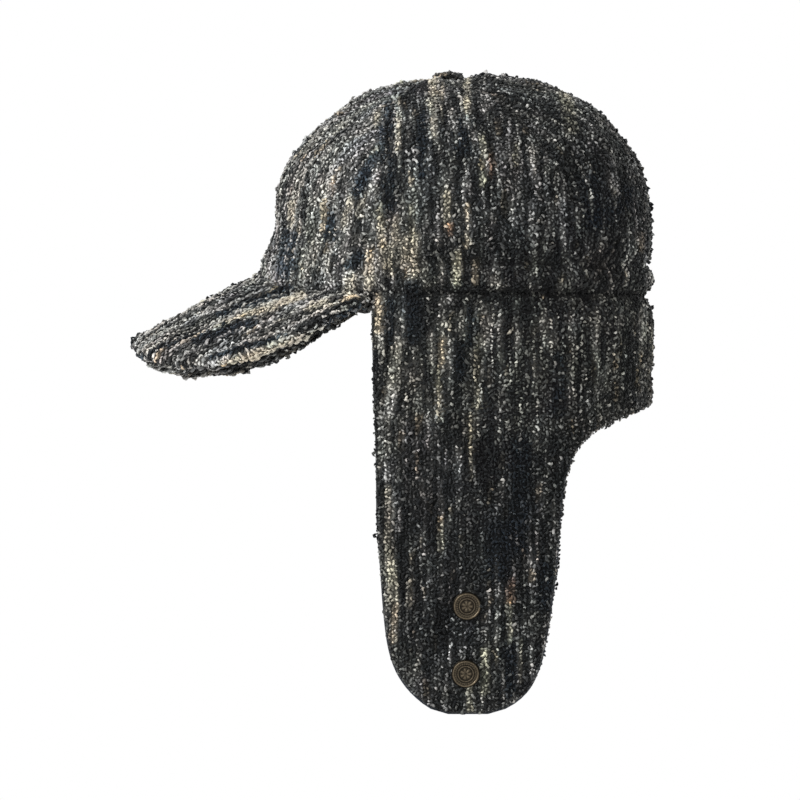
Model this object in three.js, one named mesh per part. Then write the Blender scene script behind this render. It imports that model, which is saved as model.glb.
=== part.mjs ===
// Earflap hat of thick looped cloth: a six-panel crown with a covered button, a curved
// visor, a neck and ear flap in two halves with satin linings, and two snap fasteners.
// Millimetres. The visor points along -X, the wearer's left side faces -Y, +Z is up, and
// the origin is the middle of the rim seam, where the hat sits on the head.
import * as THREE from "three";

// Cloth and sewing
const CLOTH = 3; // thickness of the looped cloth
const LINING = 1; // thickness of the satin with its hem
const LINING_SHOWS = 1.2; // the lining's edge stands this far past the cloth's edge
const SEAM_GAP = 0.3; // open seam between two pieces
const LINING_GAP = 0.6; // between the cloth and the lining
const LEFT = -1; // sign of Y on the wearer's left
const RIGHT = 1;

// The crown, a ring of the dome in each row, from the rim to the hole under the button.
// front, side and back each hold how far a ring reaches, in X, Y and X, and its height
// there. mid is the X of its widest place, lift raises the ring at the centre of the
// front, where the visor arches, and seams are the degrees from the front centre at which
// the side panel begins and ends.
const CROWN_RINGS = [
  { front: [-105.5, 0], side: [86, 0], back: [105, -1], mid: 0, lift: 10, seams: [70, 131.6] },
  { front: [-103.2, 10.5], side: [87.5, 11], back: [106.5, 10], mid: 0, lift: 7, seams: [69.5, 130.5] },
  { front: [-99.8, 23], side: [89.5, 23], back: [107.2, 22.5], mid: 0, lift: 4, seams: [69, 129.5] },
  { front: [-96.3, 34.5], side: [90.2, 35], back: [107.6, 34], mid: 0, lift: 1.5, seams: [68.5, 128.3] },
  { front: [-95.6, 46.5], side: [90, 47], back: [106.6, 46], mid: 0, lift: 0, seams: [68, 127.4] },
  { front: [-94.3, 58.5], side: [88.2, 59], back: [104.8, 58], mid: 0, lift: 0, seams: [67, 126] },
  { front: [-89.5, 71], side: [84, 71], back: [100.8, 70.3], mid: -0.5, lift: 0, seams: [65.5, 123.5] },
  { front: [-80, 82], side: [79, 82], back: [93.5, 81.5], mid: -1, lift: 0, seams: [63.5, 120.5] },
  { front: [-70, 92.3], side: [69.5, 92.3], back: [84, 93], mid: -1.5, lift: 0, seams: [60.5, 116.5] },
  { front: [-57.5, 102], side: [56.5, 102], back: [72, 103.3], mid: -2, lift: 0, seams: [57.5, 112] },
  { front: [-42.5, 109.3], side: [41.5, 109.3], back: [57, 110.4], mid: -2.5, lift: 0, seams: [55.5, 107] },
  { front: [-27.5, 113.4], side: [25.5, 113.6], back: [37, 116.2], mid: -3, lift: 0, seams: [54.5, 104] },
  { front: [-14, 114.9], side: [11, 115.3], back: [16, 117.8], mid: -3, lift: 0, seams: [54, 103] },
  { front: [-6.5, 115.2], side: [3.5, 115.4], back: [0.5, 115.8], mid: -3, lift: 0, seams: [54, 103] },
];
const LIFT_SPREAD = 21; // degrees from the front centre at which the lift has faded
const PANEL_PUFF = { height: 1.6, rises: [0, 1.5], fades: [10, 13] }; // between its seams
const EDGE_RINGS = 0.5; // up to here the wall is thickened level, so that its edge is flat
const HALF_GAP = 0.22; // a panel stops this far from the line of its seam
// Places of the grid rows on a panel, counted in rings from the rim
const PANEL_ROWS = [0, 0.3, 0.6, 0.9, 1.15, 1.4, 1.65, 2, 3, 4, 5, 6, 7, 8, 9, 10, 11, 12, 13];
const PANEL_COLUMNS = 7;

// The cloth rolls over the rim seam and is drawn in above the roll, from the temples back
const ROLL = { height: 6, spread: 4.5, depth: 1.4 };
const GROOVE = { height: 15.5, spread: 3.6, depth: 3 };
const FOLD_STARTS = 66; // degrees from the front centre
const FOLD_IS_FULL = 88;

// The neck and ear flap, a level of the hanging wall in each row. backX and sideY say how
// far the wall reaches, and its edges cross the level at frontEdge and rearEdge in X.
// A level with no rearEdge runs to the seam at the centre of the back.
const FLAP_FRONT_REACH = 105;
const FLAP_LEVELS = [
  { z: 0, backX: 105, sideY: 86, frontEdge: -43.5 },
  { z: -7, backX: 107.6, sideY: 87.2, frontEdge: -43.8 },
  { z: -15, backX: 108.8, sideY: 88.2, frontEdge: -43.8 },
  { z: -30, backX: 108.8, sideY: 89, frontEdge: -43.4 },
  { z: -46, backX: 108, sideY: 89, frontEdge: -43 },
  { z: -60, backX: 107.2, sideY: 88.6, frontEdge: -42.5 },
  { z: -64, backX: 107, sideY: 88.4, frontEdge: -42.3, rearEdge: 101.5 },
  { z: -69, backX: 106.8, sideY: 88.1, frontEdge: -42.1, rearEdge: 91 },
  { z: -75, backX: 106.6, sideY: 87.7, frontEdge: -41.9, rearEdge: 79 },
  { z: -82, backX: 106.3, sideY: 87.2, frontEdge: -41.7, rearEdge: 71 },
  { z: -92, backX: 106, sideY: 86.5, frontEdge: -41.5, rearEdge: 65 },
  { z: -105, backX: 105.5, sideY: 85.4, frontEdge: -41.3, rearEdge: 61.5 },
  { z: -125, backX: 105, sideY: 83.3, frontEdge: -41, rearEdge: 59 },
  { z: -150, backX: 104.5, sideY: 80.2, frontEdge: -39, rearEdge: 57 },
  { z: -175, backX: 104, sideY: 76.6, frontEdge: -37, rearEdge: 53.5 },
  { z: -192, backX: 103.5, sideY: 74, frontEdge: -34.5, rearEdge: 50.5 },
  { z: -204, backX: 103.2, sideY: 72, frontEdge: -30.5, rearEdge: 47.5 },
  { z: -213, backX: 103, sideY: 70.6, frontEdge: -24.5, rearEdge: 43 },
  { z: -220, backX: 102.8, sideY: 69.5, frontEdge: -17, rearEdge: 36 },
  { z: -225, backX: 102.7, sideY: 68.7, frontEdge: -9, rearEdge: 27 },
  { z: -227, backX: 102.7, sideY: 68.4, frontEdge: -1, rearEdge: 19 },
];
const FLAP_COLUMNS = 14;

// The visor's outer edge on the wearer's left, from the centre of the front round to the
// end of its root. across is 0 at the centre and 1 at the end; the other side mirrors it.
const VISOR_EDGE = [
  { across: 0, x: -173.6, y: 0, z: -28 },
  { across: 0.2, x: -171.6, y: 22, z: -31.5 },
  { across: 0.4, x: -163.5, y: 43, z: -36.5 },
  { across: 0.6, x: -148, y: 60.5, z: -40.3 },
  { across: 0.75, x: -125, y: 73, z: -39 },
  { across: 0.87, x: -96, y: 80.5, z: -32.3 },
  { across: 0.95, x: -69, y: 82, z: -19.3 },
  { across: 1, x: -50, y: 80, z: -8.5 },
];
const VISOR_THICK = 8;
const VISOR_EDGE_THICK = 1.8; // left blunt at the very edge
const VISOR_END_ANGLE = 63.5; // degrees from the front centre to the end of the root
const VISOR_DROP = 0.7; // its root lies this much under the crown's edge
const VISOR_BULGE = 1.5; // it stands this much above a straight line from root to edge
// The right half hangs this much lower, from one share across to another
const VISOR_RIGHT_SAG = { depth: 4.6, sinks: [0, 0.35], rises: [0.83, 0.91] };
const VISOR_ROUNDS_FROM = 0.88; // share of the way out where the edge starts to round
const VISOR_TILTS_BY = 0.3; // from here out its thickness is square to its surface
const STEP = 0.01; // a short step over the visor, as a share
const VISOR_COLUMNS = 26;
const VISOR_ROWS = [0, 0.045, 0.25, 0.5, 0.72, 0.88, 0.95, 0.985, 1];
const VISOR_ROOT_SHARE = VISOR_ROWS[1]; // the part that lies under the crown's edge

const BUTTON = { x: -3, radius: 8, underside: 117.2, side: 0.7, height: 3.2, steps: 6 };

// Snap fasteners, in pairs at these places of the flaps' side view
const SNAPS = [
  { name: "upper", x: 8.3, z: -169.2 },
  { name: "lower", x: 7.5, z: -205.7 },
];
const CAP_PROFILE = [
  { r: 0, h: 0 }, { r: 6.6, h: 0 }, { r: 7.4, h: 0.4 }, { r: 7.5, h: 1 }, { r: 7.1, h: 1.6 },
  { r: 6.4, h: 1.7 }, { r: 5.9, h: 1.35 }, { r: 5.2, h: 1.35 }, { r: 4.8, h: 1.75 },
  { r: 2.6, h: 1.9 }, { r: 2.3, h: 1.65 }, { r: 0, h: 1.7 },
];
const SOCKET_PROFILE = [
  { r: 0, h: 0 }, { r: 6, h: 0 }, { r: 6.2, h: 0.8 }, { r: 4.6, h: 1.2 }, { r: 4.2, h: 2.4 },
  { r: 2.6, h: 2.4 }, { r: 2.2, h: 1 }, { r: 0, h: 1 },
];
const STUD_PROFILE = [
  { r: 0, h: 0 }, { r: 6, h: 0 }, { r: 6.2, h: 0.7 }, { r: 4, h: 1.1 }, { r: 1.9, h: 1.3 },
  { r: 1.7, h: 2 }, { r: 2.2, h: 2.7 }, { r: 1.5, h: 3.3 }, { r: 0, h: 3.4 },
];
const ROUND_SEGMENTS = 24;
const SNAP_GAP = 0.4; // a flat snap part stands this far off the middle of its curved seat

const finish = (color, roughness, metalness) =>
  new THREE.MeshStandardMaterial({ color, roughness, metalness });
const clothMaterial = finish(0x4a4a46, 1, 0);
const satinMaterial = finish(0x1b222b, 0.45, 0);
const brassMaterial = finish(0x6b5a3e, 0.45, 1);

const radians = THREE.MathUtils.degToRad;
const mix = THREE.MathUtils.lerp;
const ramp = THREE.MathUtils.smoothstep;
const swell = (distance, spread) => Math.exp(-((distance / spread) ** 2));

// A number between the rows of a table, on a smooth curve through the values of a column,
// which pick takes from a row
function column(table, pick, place) {
  const last = table.length - 1;
  const at = Math.min(Math.max(place, 0), last);
  const i = Math.min(Math.floor(at), last - 1);
  const t = at - i;
  const value = (k) => pick(table[Math.min(Math.max(k, 0), last)]);
  const [a, b, c, d] = [value(i - 1), value(i), value(i + 1), value(i + 2)];
  return b + 0.5 * t * (c - a + t * (2 * a - 5 * b + 4 * c - d + t * (3 * (b - c) + d - a)));
}

// A point of the dome's outer face at an angle from the front centre and a ring
function domePoint(degrees, ring, side) {
  const get = (pick) => column(CROWN_RINGS, pick, ring);
  const cos = Math.cos(radians(degrees));
  const sin = Math.sin(radians(degrees));
  const end = cos > 0 ? "front" : "back";
  const lift = get((row) => row.lift) * swell(degrees, LIFT_SPREAD);
  const z = mix(get((row) => row.side[1]), get((row) => row[end][1]), cos * cos) + lift;
  const roll = ROLL.depth * swell(z - ROLL.height, ROLL.spread);
  const groove = GROOVE.depth * swell(z - GROOVE.height, GROOVE.spread);
  const fold = ramp(degrees, FOLD_STARTS, FOLD_IS_FULL) * (roll - groove);
  const x = mix(get((row) => row.mid), get((row) => row[end][0]), Math.abs(cos)) - fold * cos;
  return new THREE.Vector3(x, side * (get((row) => row.side[0]) + fold) * sin, z);
}

// The direction that a surface faces at (a, b), from two short steps along it
function facing(surface, a, b, stepA, stepB, outward) {
  const alongA = surface(a + stepA, b).sub(surface(a - stepA, b));
  const alongB = surface(a, b + stepB).sub(surface(a, b - stepB));
  const normal = alongA.cross(alongB).normalize();
  return normal.dot(outward) < 0 ? normal.negate() : normal;
}

// A point of a crown panel: the dome, puffed out by a share of the puff between the
// panel's seams, and set in by depth
function crownPoint(degrees, ring, side, puff, depth) {
  const surface = (a, b) => domePoint(a, b, side);
  const point = surface(degrees, ring);
  const outward = new THREE.Vector3(point.x, point.y, Math.max(point.z, 1));
  const within = THREE.MathUtils.clamp(degrees, 1, 179);
  const normal = facing(surface, within, Math.max(ring, 0.05), 0.5, 0.05, outward);
  normal.z *= ramp(ring, 0, EDGE_RINGS);
  normal.normalize();
  const share = ramp(ring, ...PANEL_PUFF.rises) * (1 - ramp(ring, ...PANEL_PUFF.fades));
  return point.addScaledVector(normal, puff * share * PANEL_PUFF.height - depth);
}

// One closed body from an outer and an inner face, each a function of two shares from 0
// to 1, walled round along its four sides
function walled(columns, rows, outer, inner) {
  const positions = [];
  const index = [];
  for (const face of [outer, inner])
    for (const v of rows)
      for (let i = 0; i <= columns; i++) positions.push(...face(i / columns, v).toArray());
  const top = rows.length - 1;
  const at = (face, i, j) => (face * rows.length + j) * (columns + 1) + i;
  const quad = (a, b, c, d) => index.push(a, b, c, a, c, d);
  for (let j = 0; j < top; j++)
    for (let i = 0; i < columns; i++) {
      quad(at(0, i, j), at(0, i + 1, j), at(0, i + 1, j + 1), at(0, i, j + 1));
      quad(at(1, i, j), at(1, i, j + 1), at(1, i + 1, j + 1), at(1, i + 1, j));
    }
  for (let i = 0; i < columns; i++) {
    quad(at(0, i, 0), at(1, i, 0), at(1, i + 1, 0), at(0, i + 1, 0));
    quad(at(0, i, top), at(0, i + 1, top), at(1, i + 1, top), at(1, i, top));
  }
  for (let j = 0; j < top; j++) {
    quad(at(0, 0, j), at(0, 0, j + 1), at(1, 0, j + 1), at(1, 0, j));
    quad(at(0, columns, j), at(1, columns, j), at(1, columns, j + 1), at(0, columns, j + 1));
  }
  const geometry = new THREE.BufferGeometry();
  geometry.setAttribute("position", new THREE.Float32BufferAttribute(positions, 3));
  geometry.setIndex(index);
  if (signedVolume(positions, index) < 0) geometry.setIndex(index.reverse());
  geometry.computeVertexNormals();
  return geometry;
}

// Six times the volume that the triangles enclose, negative where they face inwards
function signedVolume(positions, index) {
  const point = (k) => new THREE.Vector3().fromArray(positions, 3 * k);
  let sum = 0;
  for (let k = 0; k < index.length; k += 3)
    sum += point(index[k]).dot(point(index[k + 1]).cross(point(index[k + 2])));
  return sum;
}

// A crown panel between two seams, given as functions of the ring
function crownPanel(side, fromSeam, toSeam) {
  const face = (depth) => (u, ring) => {
    const gap = THREE.MathUtils.radToDeg(HALF_GAP / column(CROWN_RINGS, (row) => row.side[0], ring));
    const degrees = mix(fromSeam(ring) + gap, toSeam(ring) - gap, u);
    return crownPoint(degrees, ring, side, Math.sin(Math.PI * u), depth);
  };
  return walled(PANEL_COLUMNS, PANEL_ROWS, face(0), face(CLOTH));
}

// A point of the hanging flap wall at a level and an X, set in by depth
function flapPoint(x, level, side, depth) {
  const get = (name) => column(FLAP_LEVELS, (row) => row[name], level);
  const reach = x < 0 ? FLAP_FRONT_REACH : get("backX");
  const cos = THREE.MathUtils.clamp(x / reach, -1, 1);
  const sin = Math.sqrt(1 - cos * cos);
  const width = get("sideY");
  const normal = new THREE.Vector3(cos / reach, (side * sin) / width, 0).normalize();
  return new THREE.Vector3(x, side * width * sin, get("z")).addScaledVector(normal, -depth);
}

// One half of the flap, or of its lining, which stands past the cloth's edges by more
function flapHalf(side, depth, thick, more) {
  const levels = FLAP_LEVELS.map((_, level) => level);
  const lastWhole = FLAP_LEVELS.findIndex((row) => row.rearEdge !== undefined) - 1;
  const seamAngle = Math.asin(HALF_GAP / FLAP_LEVELS[0].sideY);
  const face = (setIn) => (u, level) => {
    const row = FLAP_LEVELS[level];
    const past = more / row.sideY;
    const front = Math.acos(row.frontEdge / FLAP_FRONT_REACH) + past;
    const rear = level <= lastWhole ? seamAngle : Math.acos(row.rearEdge / row.backX) - past;
    const angle = mix(front, rear, u);
    const x = Math.cos(angle) * (Math.cos(angle) < 0 ? FLAP_FRONT_REACH : row.backX);
    const point = flapPoint(x, level, side, setIn);
    if (level === 0) point.z = CROWN_RINGS[0].back[1] * Math.max(Math.cos(angle), 0) ** 2 - SEAM_GAP;
    if (level === levels.length - 1) point.z -= more;
    return point;
  };
  return walled(FLAP_COLUMNS, levels, face(depth), face(depth + thick));
}

// The visor's outer edge at a share across, from -1 on the right to 1 on the left
function visorEdge(across) {
  const share = Math.abs(across);
  const side = across < 0 ? RIGHT : LEFT;
  const k = VISOR_EDGE.findIndex((row, i) => i > 0 && share <= row.across);
  const [from, to] = [VISOR_EDGE[k - 1], VISOR_EDGE[k]];
  const place = k - 1 + (share - from.across) / (to.across - from.across);
  const { depth, sinks, rises } = VISOR_RIGHT_SAG;
  const sag = side === RIGHT ? depth * ramp(share, ...sinks) * (1 - ramp(share, ...rises)) : 0;
  const get = (name) => column(VISOR_EDGE, (row) => row[name], place);
  return new THREE.Vector3(get("x"), side * Math.abs(get("y")), get("z") - sag);
}

// The crown's rim at a share across the visor, set in by depth
function visorRoot(across, depth) {
  const side = across < 0 ? RIGHT : LEFT;
  return crownPoint(Math.abs(across) * VISOR_END_ANGLE, 0, side, 0, depth);
}

// The visor's middle surface: level under the crown's edge, then out to the visor's edge
function visorMiddle(across, out) {
  const root = visorRoot(across, 0);
  root.z -= VISOR_DROP + VISOR_THICK / 2;
  if (out <= VISOR_ROOT_SHARE) {
    const under = visorRoot(across, CLOTH * (1 - out / VISOR_ROOT_SHARE));
    under.z = root.z;
    return under;
  }
  const share = (out - VISOR_ROOT_SHARE) / (1 - VISOR_ROOT_SHARE);
  const point = root.lerp(visorEdge(across), share);
  point.z += VISOR_BULGE * Math.sin(Math.PI * share ** 0.6);
  return point;
}

// The visor's upper or lower face, rounded towards its edge
function visorFace(up) {
  const level = new THREE.Vector3(0, 0, 1);
  return (u, out) => {
    const across = 2 * u - 1;
    const rounding = Math.max(0, (out - VISOR_ROUNDS_FROM) / (1 - VISOR_ROUNDS_FROM));
    const half = Math.max((VISOR_THICK / 2) * Math.sqrt(1 - rounding ** 2), VISOR_EDGE_THICK / 2);
    const acrossInside = THREE.MathUtils.clamp(across, 2 * STEP - 1, 1 - 2 * STEP);
    const outInside = THREE.MathUtils.clamp(out, VISOR_ROOT_SHARE + 2 * STEP, 1 - 2 * STEP);
    const normal = facing(visorMiddle, acrossInside, outInside, STEP, STEP, level);
    normal.lerp(level, 1 - ramp(out, VISOR_ROOT_SHARE, VISOR_TILTS_BY)).normalize();
    return visorMiddle(across, out).addScaledVector(normal, up * half);
  };
}

// The covered button: a flat underside, a short upright side and a domed top
function buttonGeometry() {
  const { radius, side, height, steps } = BUTTON;
  const profile = [new THREE.Vector2(0, 0), new THREE.Vector2(radius, 0)];
  for (let k = 0; k < steps; k++) {
    const angle = (k / steps) * (Math.PI / 2);
    const rise = side + (height - side) * Math.sin(angle);
    profile.push(new THREE.Vector2(radius * Math.cos(angle), rise));
  }
  profile.push(new THREE.Vector2(0, height));
  return new THREE.LatheGeometry(profile, ROUND_SEGMENTS).rotateX(Math.PI / 2);
}

// A snap fastener's part, turned from its profile and standing on +Z
function snapGeometry(profile) {
  const points = profile.map(({ r, h }) => new THREE.Vector2(r, h));
  return new THREE.LatheGeometry(points, ROUND_SEGMENTS).rotateX(Math.PI / 2);
}

// The flap level, counted in rows of the table, at a height
function levelAt(z) {
  const k = FLAP_LEVELS.findIndex((row) => row.z <= z);
  return k - 1 + (FLAP_LEVELS[k - 1].z - z) / (FLAP_LEVELS[k - 1].z - FLAP_LEVELS[k].z);
}

// Seats a snap part on the flap: on its outer face, or inside the lining
function seatSnap(mesh, snap, side, outside) {
  const level = levelAt(snap.z);
  const depth = outside ? 0 : CLOTH + LINING_GAP + LINING;
  const surface = (x, row) => flapPoint(x, row, side, depth);
  const normal = facing(surface, snap.x, level, 1, 0.1, new THREE.Vector3(0, side, 0));
  if (!outside) normal.negate();
  mesh.quaternion.setFromUnitVectors(new THREE.Vector3(0, 0, 1), normal);
  mesh.position.copy(surface(snap.x, level)).addScaledVector(normal, SNAP_GAP);
  return mesh;
}

function named(name, geometry, material) {
  const mesh = new THREE.Mesh(geometry, material);
  mesh.name = name;
  return mesh;
}

const hat = new THREE.Group();
const seam = (which) => (ring) => column(CROWN_RINGS, (row) => row.seams[which], ring);
const liningDepth = CLOTH + LINING_GAP;
for (const [side, word] of [[LEFT, "left"], [RIGHT, "right"]]) {
  hat.add(named("crown_front_" + word, crownPanel(side, () => 0, seam(0)), clothMaterial));
  hat.add(named("crown_side_" + word, crownPanel(side, seam(0), seam(1)), clothMaterial));
  hat.add(named("crown_back_" + word, crownPanel(side, seam(1), () => 180), clothMaterial));
  hat.add(named("flap_" + word, flapHalf(side, 0, CLOTH, 0), clothMaterial));
  const lining = flapHalf(side, liningDepth, LINING, LINING_SHOWS);
  hat.add(named("flap_lining_" + word, lining, satinMaterial));
}
const visor = walled(VISOR_COLUMNS, VISOR_ROWS, visorFace(1), visorFace(-1));
hat.add(named("visor", visor, clothMaterial));

const button = named("top_button", buttonGeometry(), clothMaterial);
button.position.set(BUTTON.x, 0, BUTTON.underside);
hat.add(button);

const SNAP_PARTS = [
  { word: "cap", profile: CAP_PROFILE, side: LEFT, outside: true },
  { word: "socket", profile: SOCKET_PROFILE, side: LEFT, outside: false },
  { word: "stud", profile: STUD_PROFILE, side: RIGHT, outside: true },
];
for (const snap of SNAPS)
  for (const { word, profile, side, outside } of SNAP_PARTS) {
    const mesh = named(`snap_${word}_${snap.name}`, snapGeometry(profile), brassMaterial);
    hat.add(seatSnap(mesh, snap, side, outside));
  }

export default hat;
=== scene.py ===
"""Looks of an earflap hat of thick looped tweed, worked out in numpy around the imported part.

All sizes are millimetres in the part's frame: the visor points along -X, the wearer's
left side faces -Y and +Z is up. put_mesh turns them into metres, once for each piece.
"""

import logging
from collections.abc import Callable, Sequence
from dataclasses import dataclass, field
from enum import Enum
from functools import partial

import bpy
import numpy as np
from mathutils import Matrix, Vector


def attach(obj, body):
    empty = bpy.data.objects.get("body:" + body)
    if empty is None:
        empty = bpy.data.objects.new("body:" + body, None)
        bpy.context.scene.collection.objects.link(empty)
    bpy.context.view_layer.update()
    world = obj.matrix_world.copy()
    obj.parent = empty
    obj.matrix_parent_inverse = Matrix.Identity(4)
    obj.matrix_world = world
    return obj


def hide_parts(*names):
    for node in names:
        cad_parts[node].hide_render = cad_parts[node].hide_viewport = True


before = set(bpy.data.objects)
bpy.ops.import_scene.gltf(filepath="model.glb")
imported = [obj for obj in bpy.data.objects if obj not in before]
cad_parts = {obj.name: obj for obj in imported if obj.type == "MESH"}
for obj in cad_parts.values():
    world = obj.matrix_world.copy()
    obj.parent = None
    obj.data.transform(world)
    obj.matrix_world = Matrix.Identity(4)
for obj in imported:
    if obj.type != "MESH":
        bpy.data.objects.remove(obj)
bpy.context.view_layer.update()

log = logging.getLogger("earflap_hat")
Array = np.ndarray
Surface = Callable[[Array, Array], Array]
Piece = bpy.types.Object
Material = bpy.types.Material
Socket = bpy.types.NodeSocket
MM = 0.001
BODY = "root"


class Side(Enum):
    """The wearer's two sides, as the sign of Y."""

    LEFT = -1
    RIGHT = 1

    @property
    def word(self) -> str:
        """The side's name in the names of pieces."""
        return self.name.lower()


class Slot(Enum):
    """The record's material slots."""

    CLOTH = "looped_cloth"
    LINING = "satin_lining"
    METAL = "antique_brass"


class Tint(Enum):
    """What a dyed stretch of yarn does to the red, green and blue of its natural tone."""

    PLAIN = (1.0, 1.0, 1.0)
    BEIGE = (1.01, 1.0, 0.935)
    CREAM = (1.05, 0.99, 0.85)
    TAN = (1.12, 0.97, 0.79)
    RUST = (1.2, 0.82, 0.62)
    OLIVE = (1.02, 1.01, 0.84)
    NAVY = (0.74, 0.96, 1.22)


# Plain arithmetic on whole arrays


def ramp(value: Array, low: float, high: float) -> Array:
    """Smoothstep: 0 under low, 1 over high, and 3tt - 2ttt of the share t between."""
    t = np.clip((value - low) / (high - low), 0, 1)
    return t * t * (3 - 2 * t)


def swell(distance: Array, spread: float) -> Array:
    """A bell: e to the power of minus the square of distance over spread."""
    return np.exp(-((distance / spread) ** 2))


def mix(a: Array, b: Array, share: Array) -> Array:
    """The number that lies a share of the way from a to b."""
    return a + (b - a) * share


def unit(vectors: Array) -> Array:
    """Vectors divided by their own lengths."""
    return vectors / np.maximum(np.linalg.norm(vectors, axis=-1, keepdims=True), 1e-12)


def stack(x: Array, y: Array, z: Array) -> Array:
    """Points from their three coordinates, which may have different shapes."""
    return np.stack(np.broadcast_arrays(x, y, z), axis=-1).astype(float)


def arc_length(points: Array, axis: int) -> Array:
    """Distance walked along a grid's rows or columns, summed from step to step.

    Args:
        points: A grid of points, rows by columns by 3.
        axis: 0 to walk from row to row, 1 to walk from column to column.

    Returns:
        The length from the first row or column to each point.
    """
    steps = np.linalg.norm(np.diff(points, axis=axis), axis=-1)
    start = np.zeros_like(np.take(points[..., 0], [0], axis=axis))
    return np.concatenate([start, np.cumsum(steps, axis=axis)], axis=axis)


def slopes(grid: Array) -> tuple[Array, Array]:
    """How much a grid's numbers change for a step down and for a step to the right."""
    return np.gradient(grid, axis=0), np.gradient(grid, axis=1)


def ridge(radius: Array, ring: tuple[float, float]) -> Array:
    """A raised ring, one high: a bell round the ring's own radius, with its spread."""
    return swell(radius - ring[0], ring[1])


def quarter_circle(share: Array) -> Array:
    """Falls as a quarter circle from 1 to 0 as a share goes from 0 to 1."""
    return np.sqrt(np.maximum(1 - share**2, 0))


def walk_from(points: Array, columns: Array) -> Array:
    """Distance walked along each row of a grid from the point in that row's own column."""
    walk = arc_length(points, 1)
    return walk - np.take_along_axis(walk, columns[:, None], axis=1)


def distance_to(points: Array, line: Array) -> Array:
    """The distance from each point to the nearest of a line's points.

    It takes the least of |p|^2 + |q|^2 - 2 p.q over the line's points q, for a limited
    number of points at a time.

    Args:
        points: Where to measure from.
        line: The line's points.

    Returns:
        The distances.
    """
    squares = []
    most = 20000
    flat = points.reshape(-1, 3)
    for block in np.array_split(flat, 1 + len(flat) // most):
        both = (block**2).sum(1)[:, None] + (line**2).sum(1) - 2 * block @ line.T
        squares.append(both.min(1))
    return np.sqrt(np.maximum(np.concatenate(squares), 0)).reshape(points.shape[:-1])


def facing(surface: Surface, a: Array, b: Array, step_a: float, step_b: float, outward: Array) -> Array:
    """The unit normal of a surface: the cross product of two short steps along it.

    Args:
        surface: Points as a function of two parameters.
        a: First parameter.
        b: Second parameter.
        step_a: A short step in a.
        step_b: A short step in b.
        outward: A direction on the side that the normal has to face.

    Returns:
        Unit normals on the outward side.
    """
    along_a = surface(a + step_a, b) - surface(a - step_a, b)
    along_b = surface(a, b + step_b) - surface(a, b - step_b)
    normal = unit(np.cross(along_a, along_b))
    return np.where((normal * outward).sum(-1, keepdims=True) < 0, -normal, normal)


def lattice_noise(x: Array, y: Array, seed: int) -> Array:
    """Smooth noise with a spread of one.

    Bell-curve numbers stand on the corners of unit squares. Inside a square the four are
    blended by smoothstep weights and divided by the root of the weights' squares.

    Args:
        x: Where to read it, in squares.
        y: The other coordinate.
        seed: Picks the pattern.

    Returns:
        The noise at each place.
    """
    side = 256
    table = np.random.default_rng(seed).standard_normal((side, side))
    i, j = np.floor(x).astype(int), np.floor(y).astype(int)
    u, v = ramp(x - i, 0, 1), ramp(y - j, 0, 1)
    total, squares = 0.0, 0.0
    for di, dj in ((0, 0), (0, 1), (1, 0), (1, 1)):
        weight = (u if di else 1 - u) * (v if dj else 1 - v)
        total = total + weight * table[(i + di) % side, (j + dj) % side]
        squares = squares + weight**2
    return total / np.sqrt(squares)


def wave_noise(points: Array, length: float, seed: int) -> Array:
    """Smooth noise in space: the sum of sines that run in random directions.

    Args:
        points: Where to read it.
        length: The middle wavelength; the waves' own are 0.7 to 1.4 of it.
        seed: Picks the directions and phases.

    Returns:
        Numbers with a spread of about one.
    """
    waves = 14
    rng = np.random.default_rng(seed)
    directions = unit(rng.standard_normal((waves, 3)))
    lengths = length * rng.uniform(0.7, 1.4, waves)
    phases = rng.uniform(0, 2 * np.pi, waves)
    turns = points @ (directions * (2 * np.pi / lengths)[:, None]).T
    return np.sin(turns + phases).sum(-1) / np.sqrt(waves / 2)


class Table:
    """Rows of numbers with named columns, read between the rows on smooth curves."""

    def __init__(self, columns: str, rows: Sequence[Sequence[float]], key: str = "") -> None:
        """Keeps the columns.

        Args:
            columns: The columns' names, with spaces between.
            rows: The rows of numbers.
            key: The column to look places up in; without one a row's number is its place.
        """
        values = np.array(rows, float).T
        self.columns = dict(zip(columns.split(), values))
        self.keys = self.columns[key] if key else np.arange(values.shape[1], dtype=float)

    def read(self, name: str, place: Array) -> Array:
        """A column's value at a place, by cubic Hermite pieces.

        The slope at a row is the rise over the run between the rows before and after it,
        and the first and last rows stand in for those that are missing.

        Args:
            name: The column.
            place: Row numbers, or values of the key column.

        Returns:
            The values.
        """
        x, y = self.keys, self.columns[name]
        wide = np.concatenate([[2 * x[0] - x[1]], x, [2 * x[-1] - x[-2]]])
        tall = np.concatenate([y[:1], y, y[-1:]])
        slope = (tall[2:] - tall[:-2]) / (wide[2:] - wide[:-2])
        at = np.clip(place, x[0], x[-1])
        i = np.clip(np.searchsorted(x, at, side="right") - 1, 0, len(x) - 2)
        step = x[i + 1] - x[i]
        t = (at - x[i]) / step
        start = (1 + 2 * t) * (1 - t) ** 2 * y[i] + t * (1 - t) ** 2 * step * slope[i]
        end = t * t * (3 - 2 * t) * y[i + 1] - t * t * (1 - t) * step * slope[i + 1]
        return start + end


# Meshes


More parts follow.
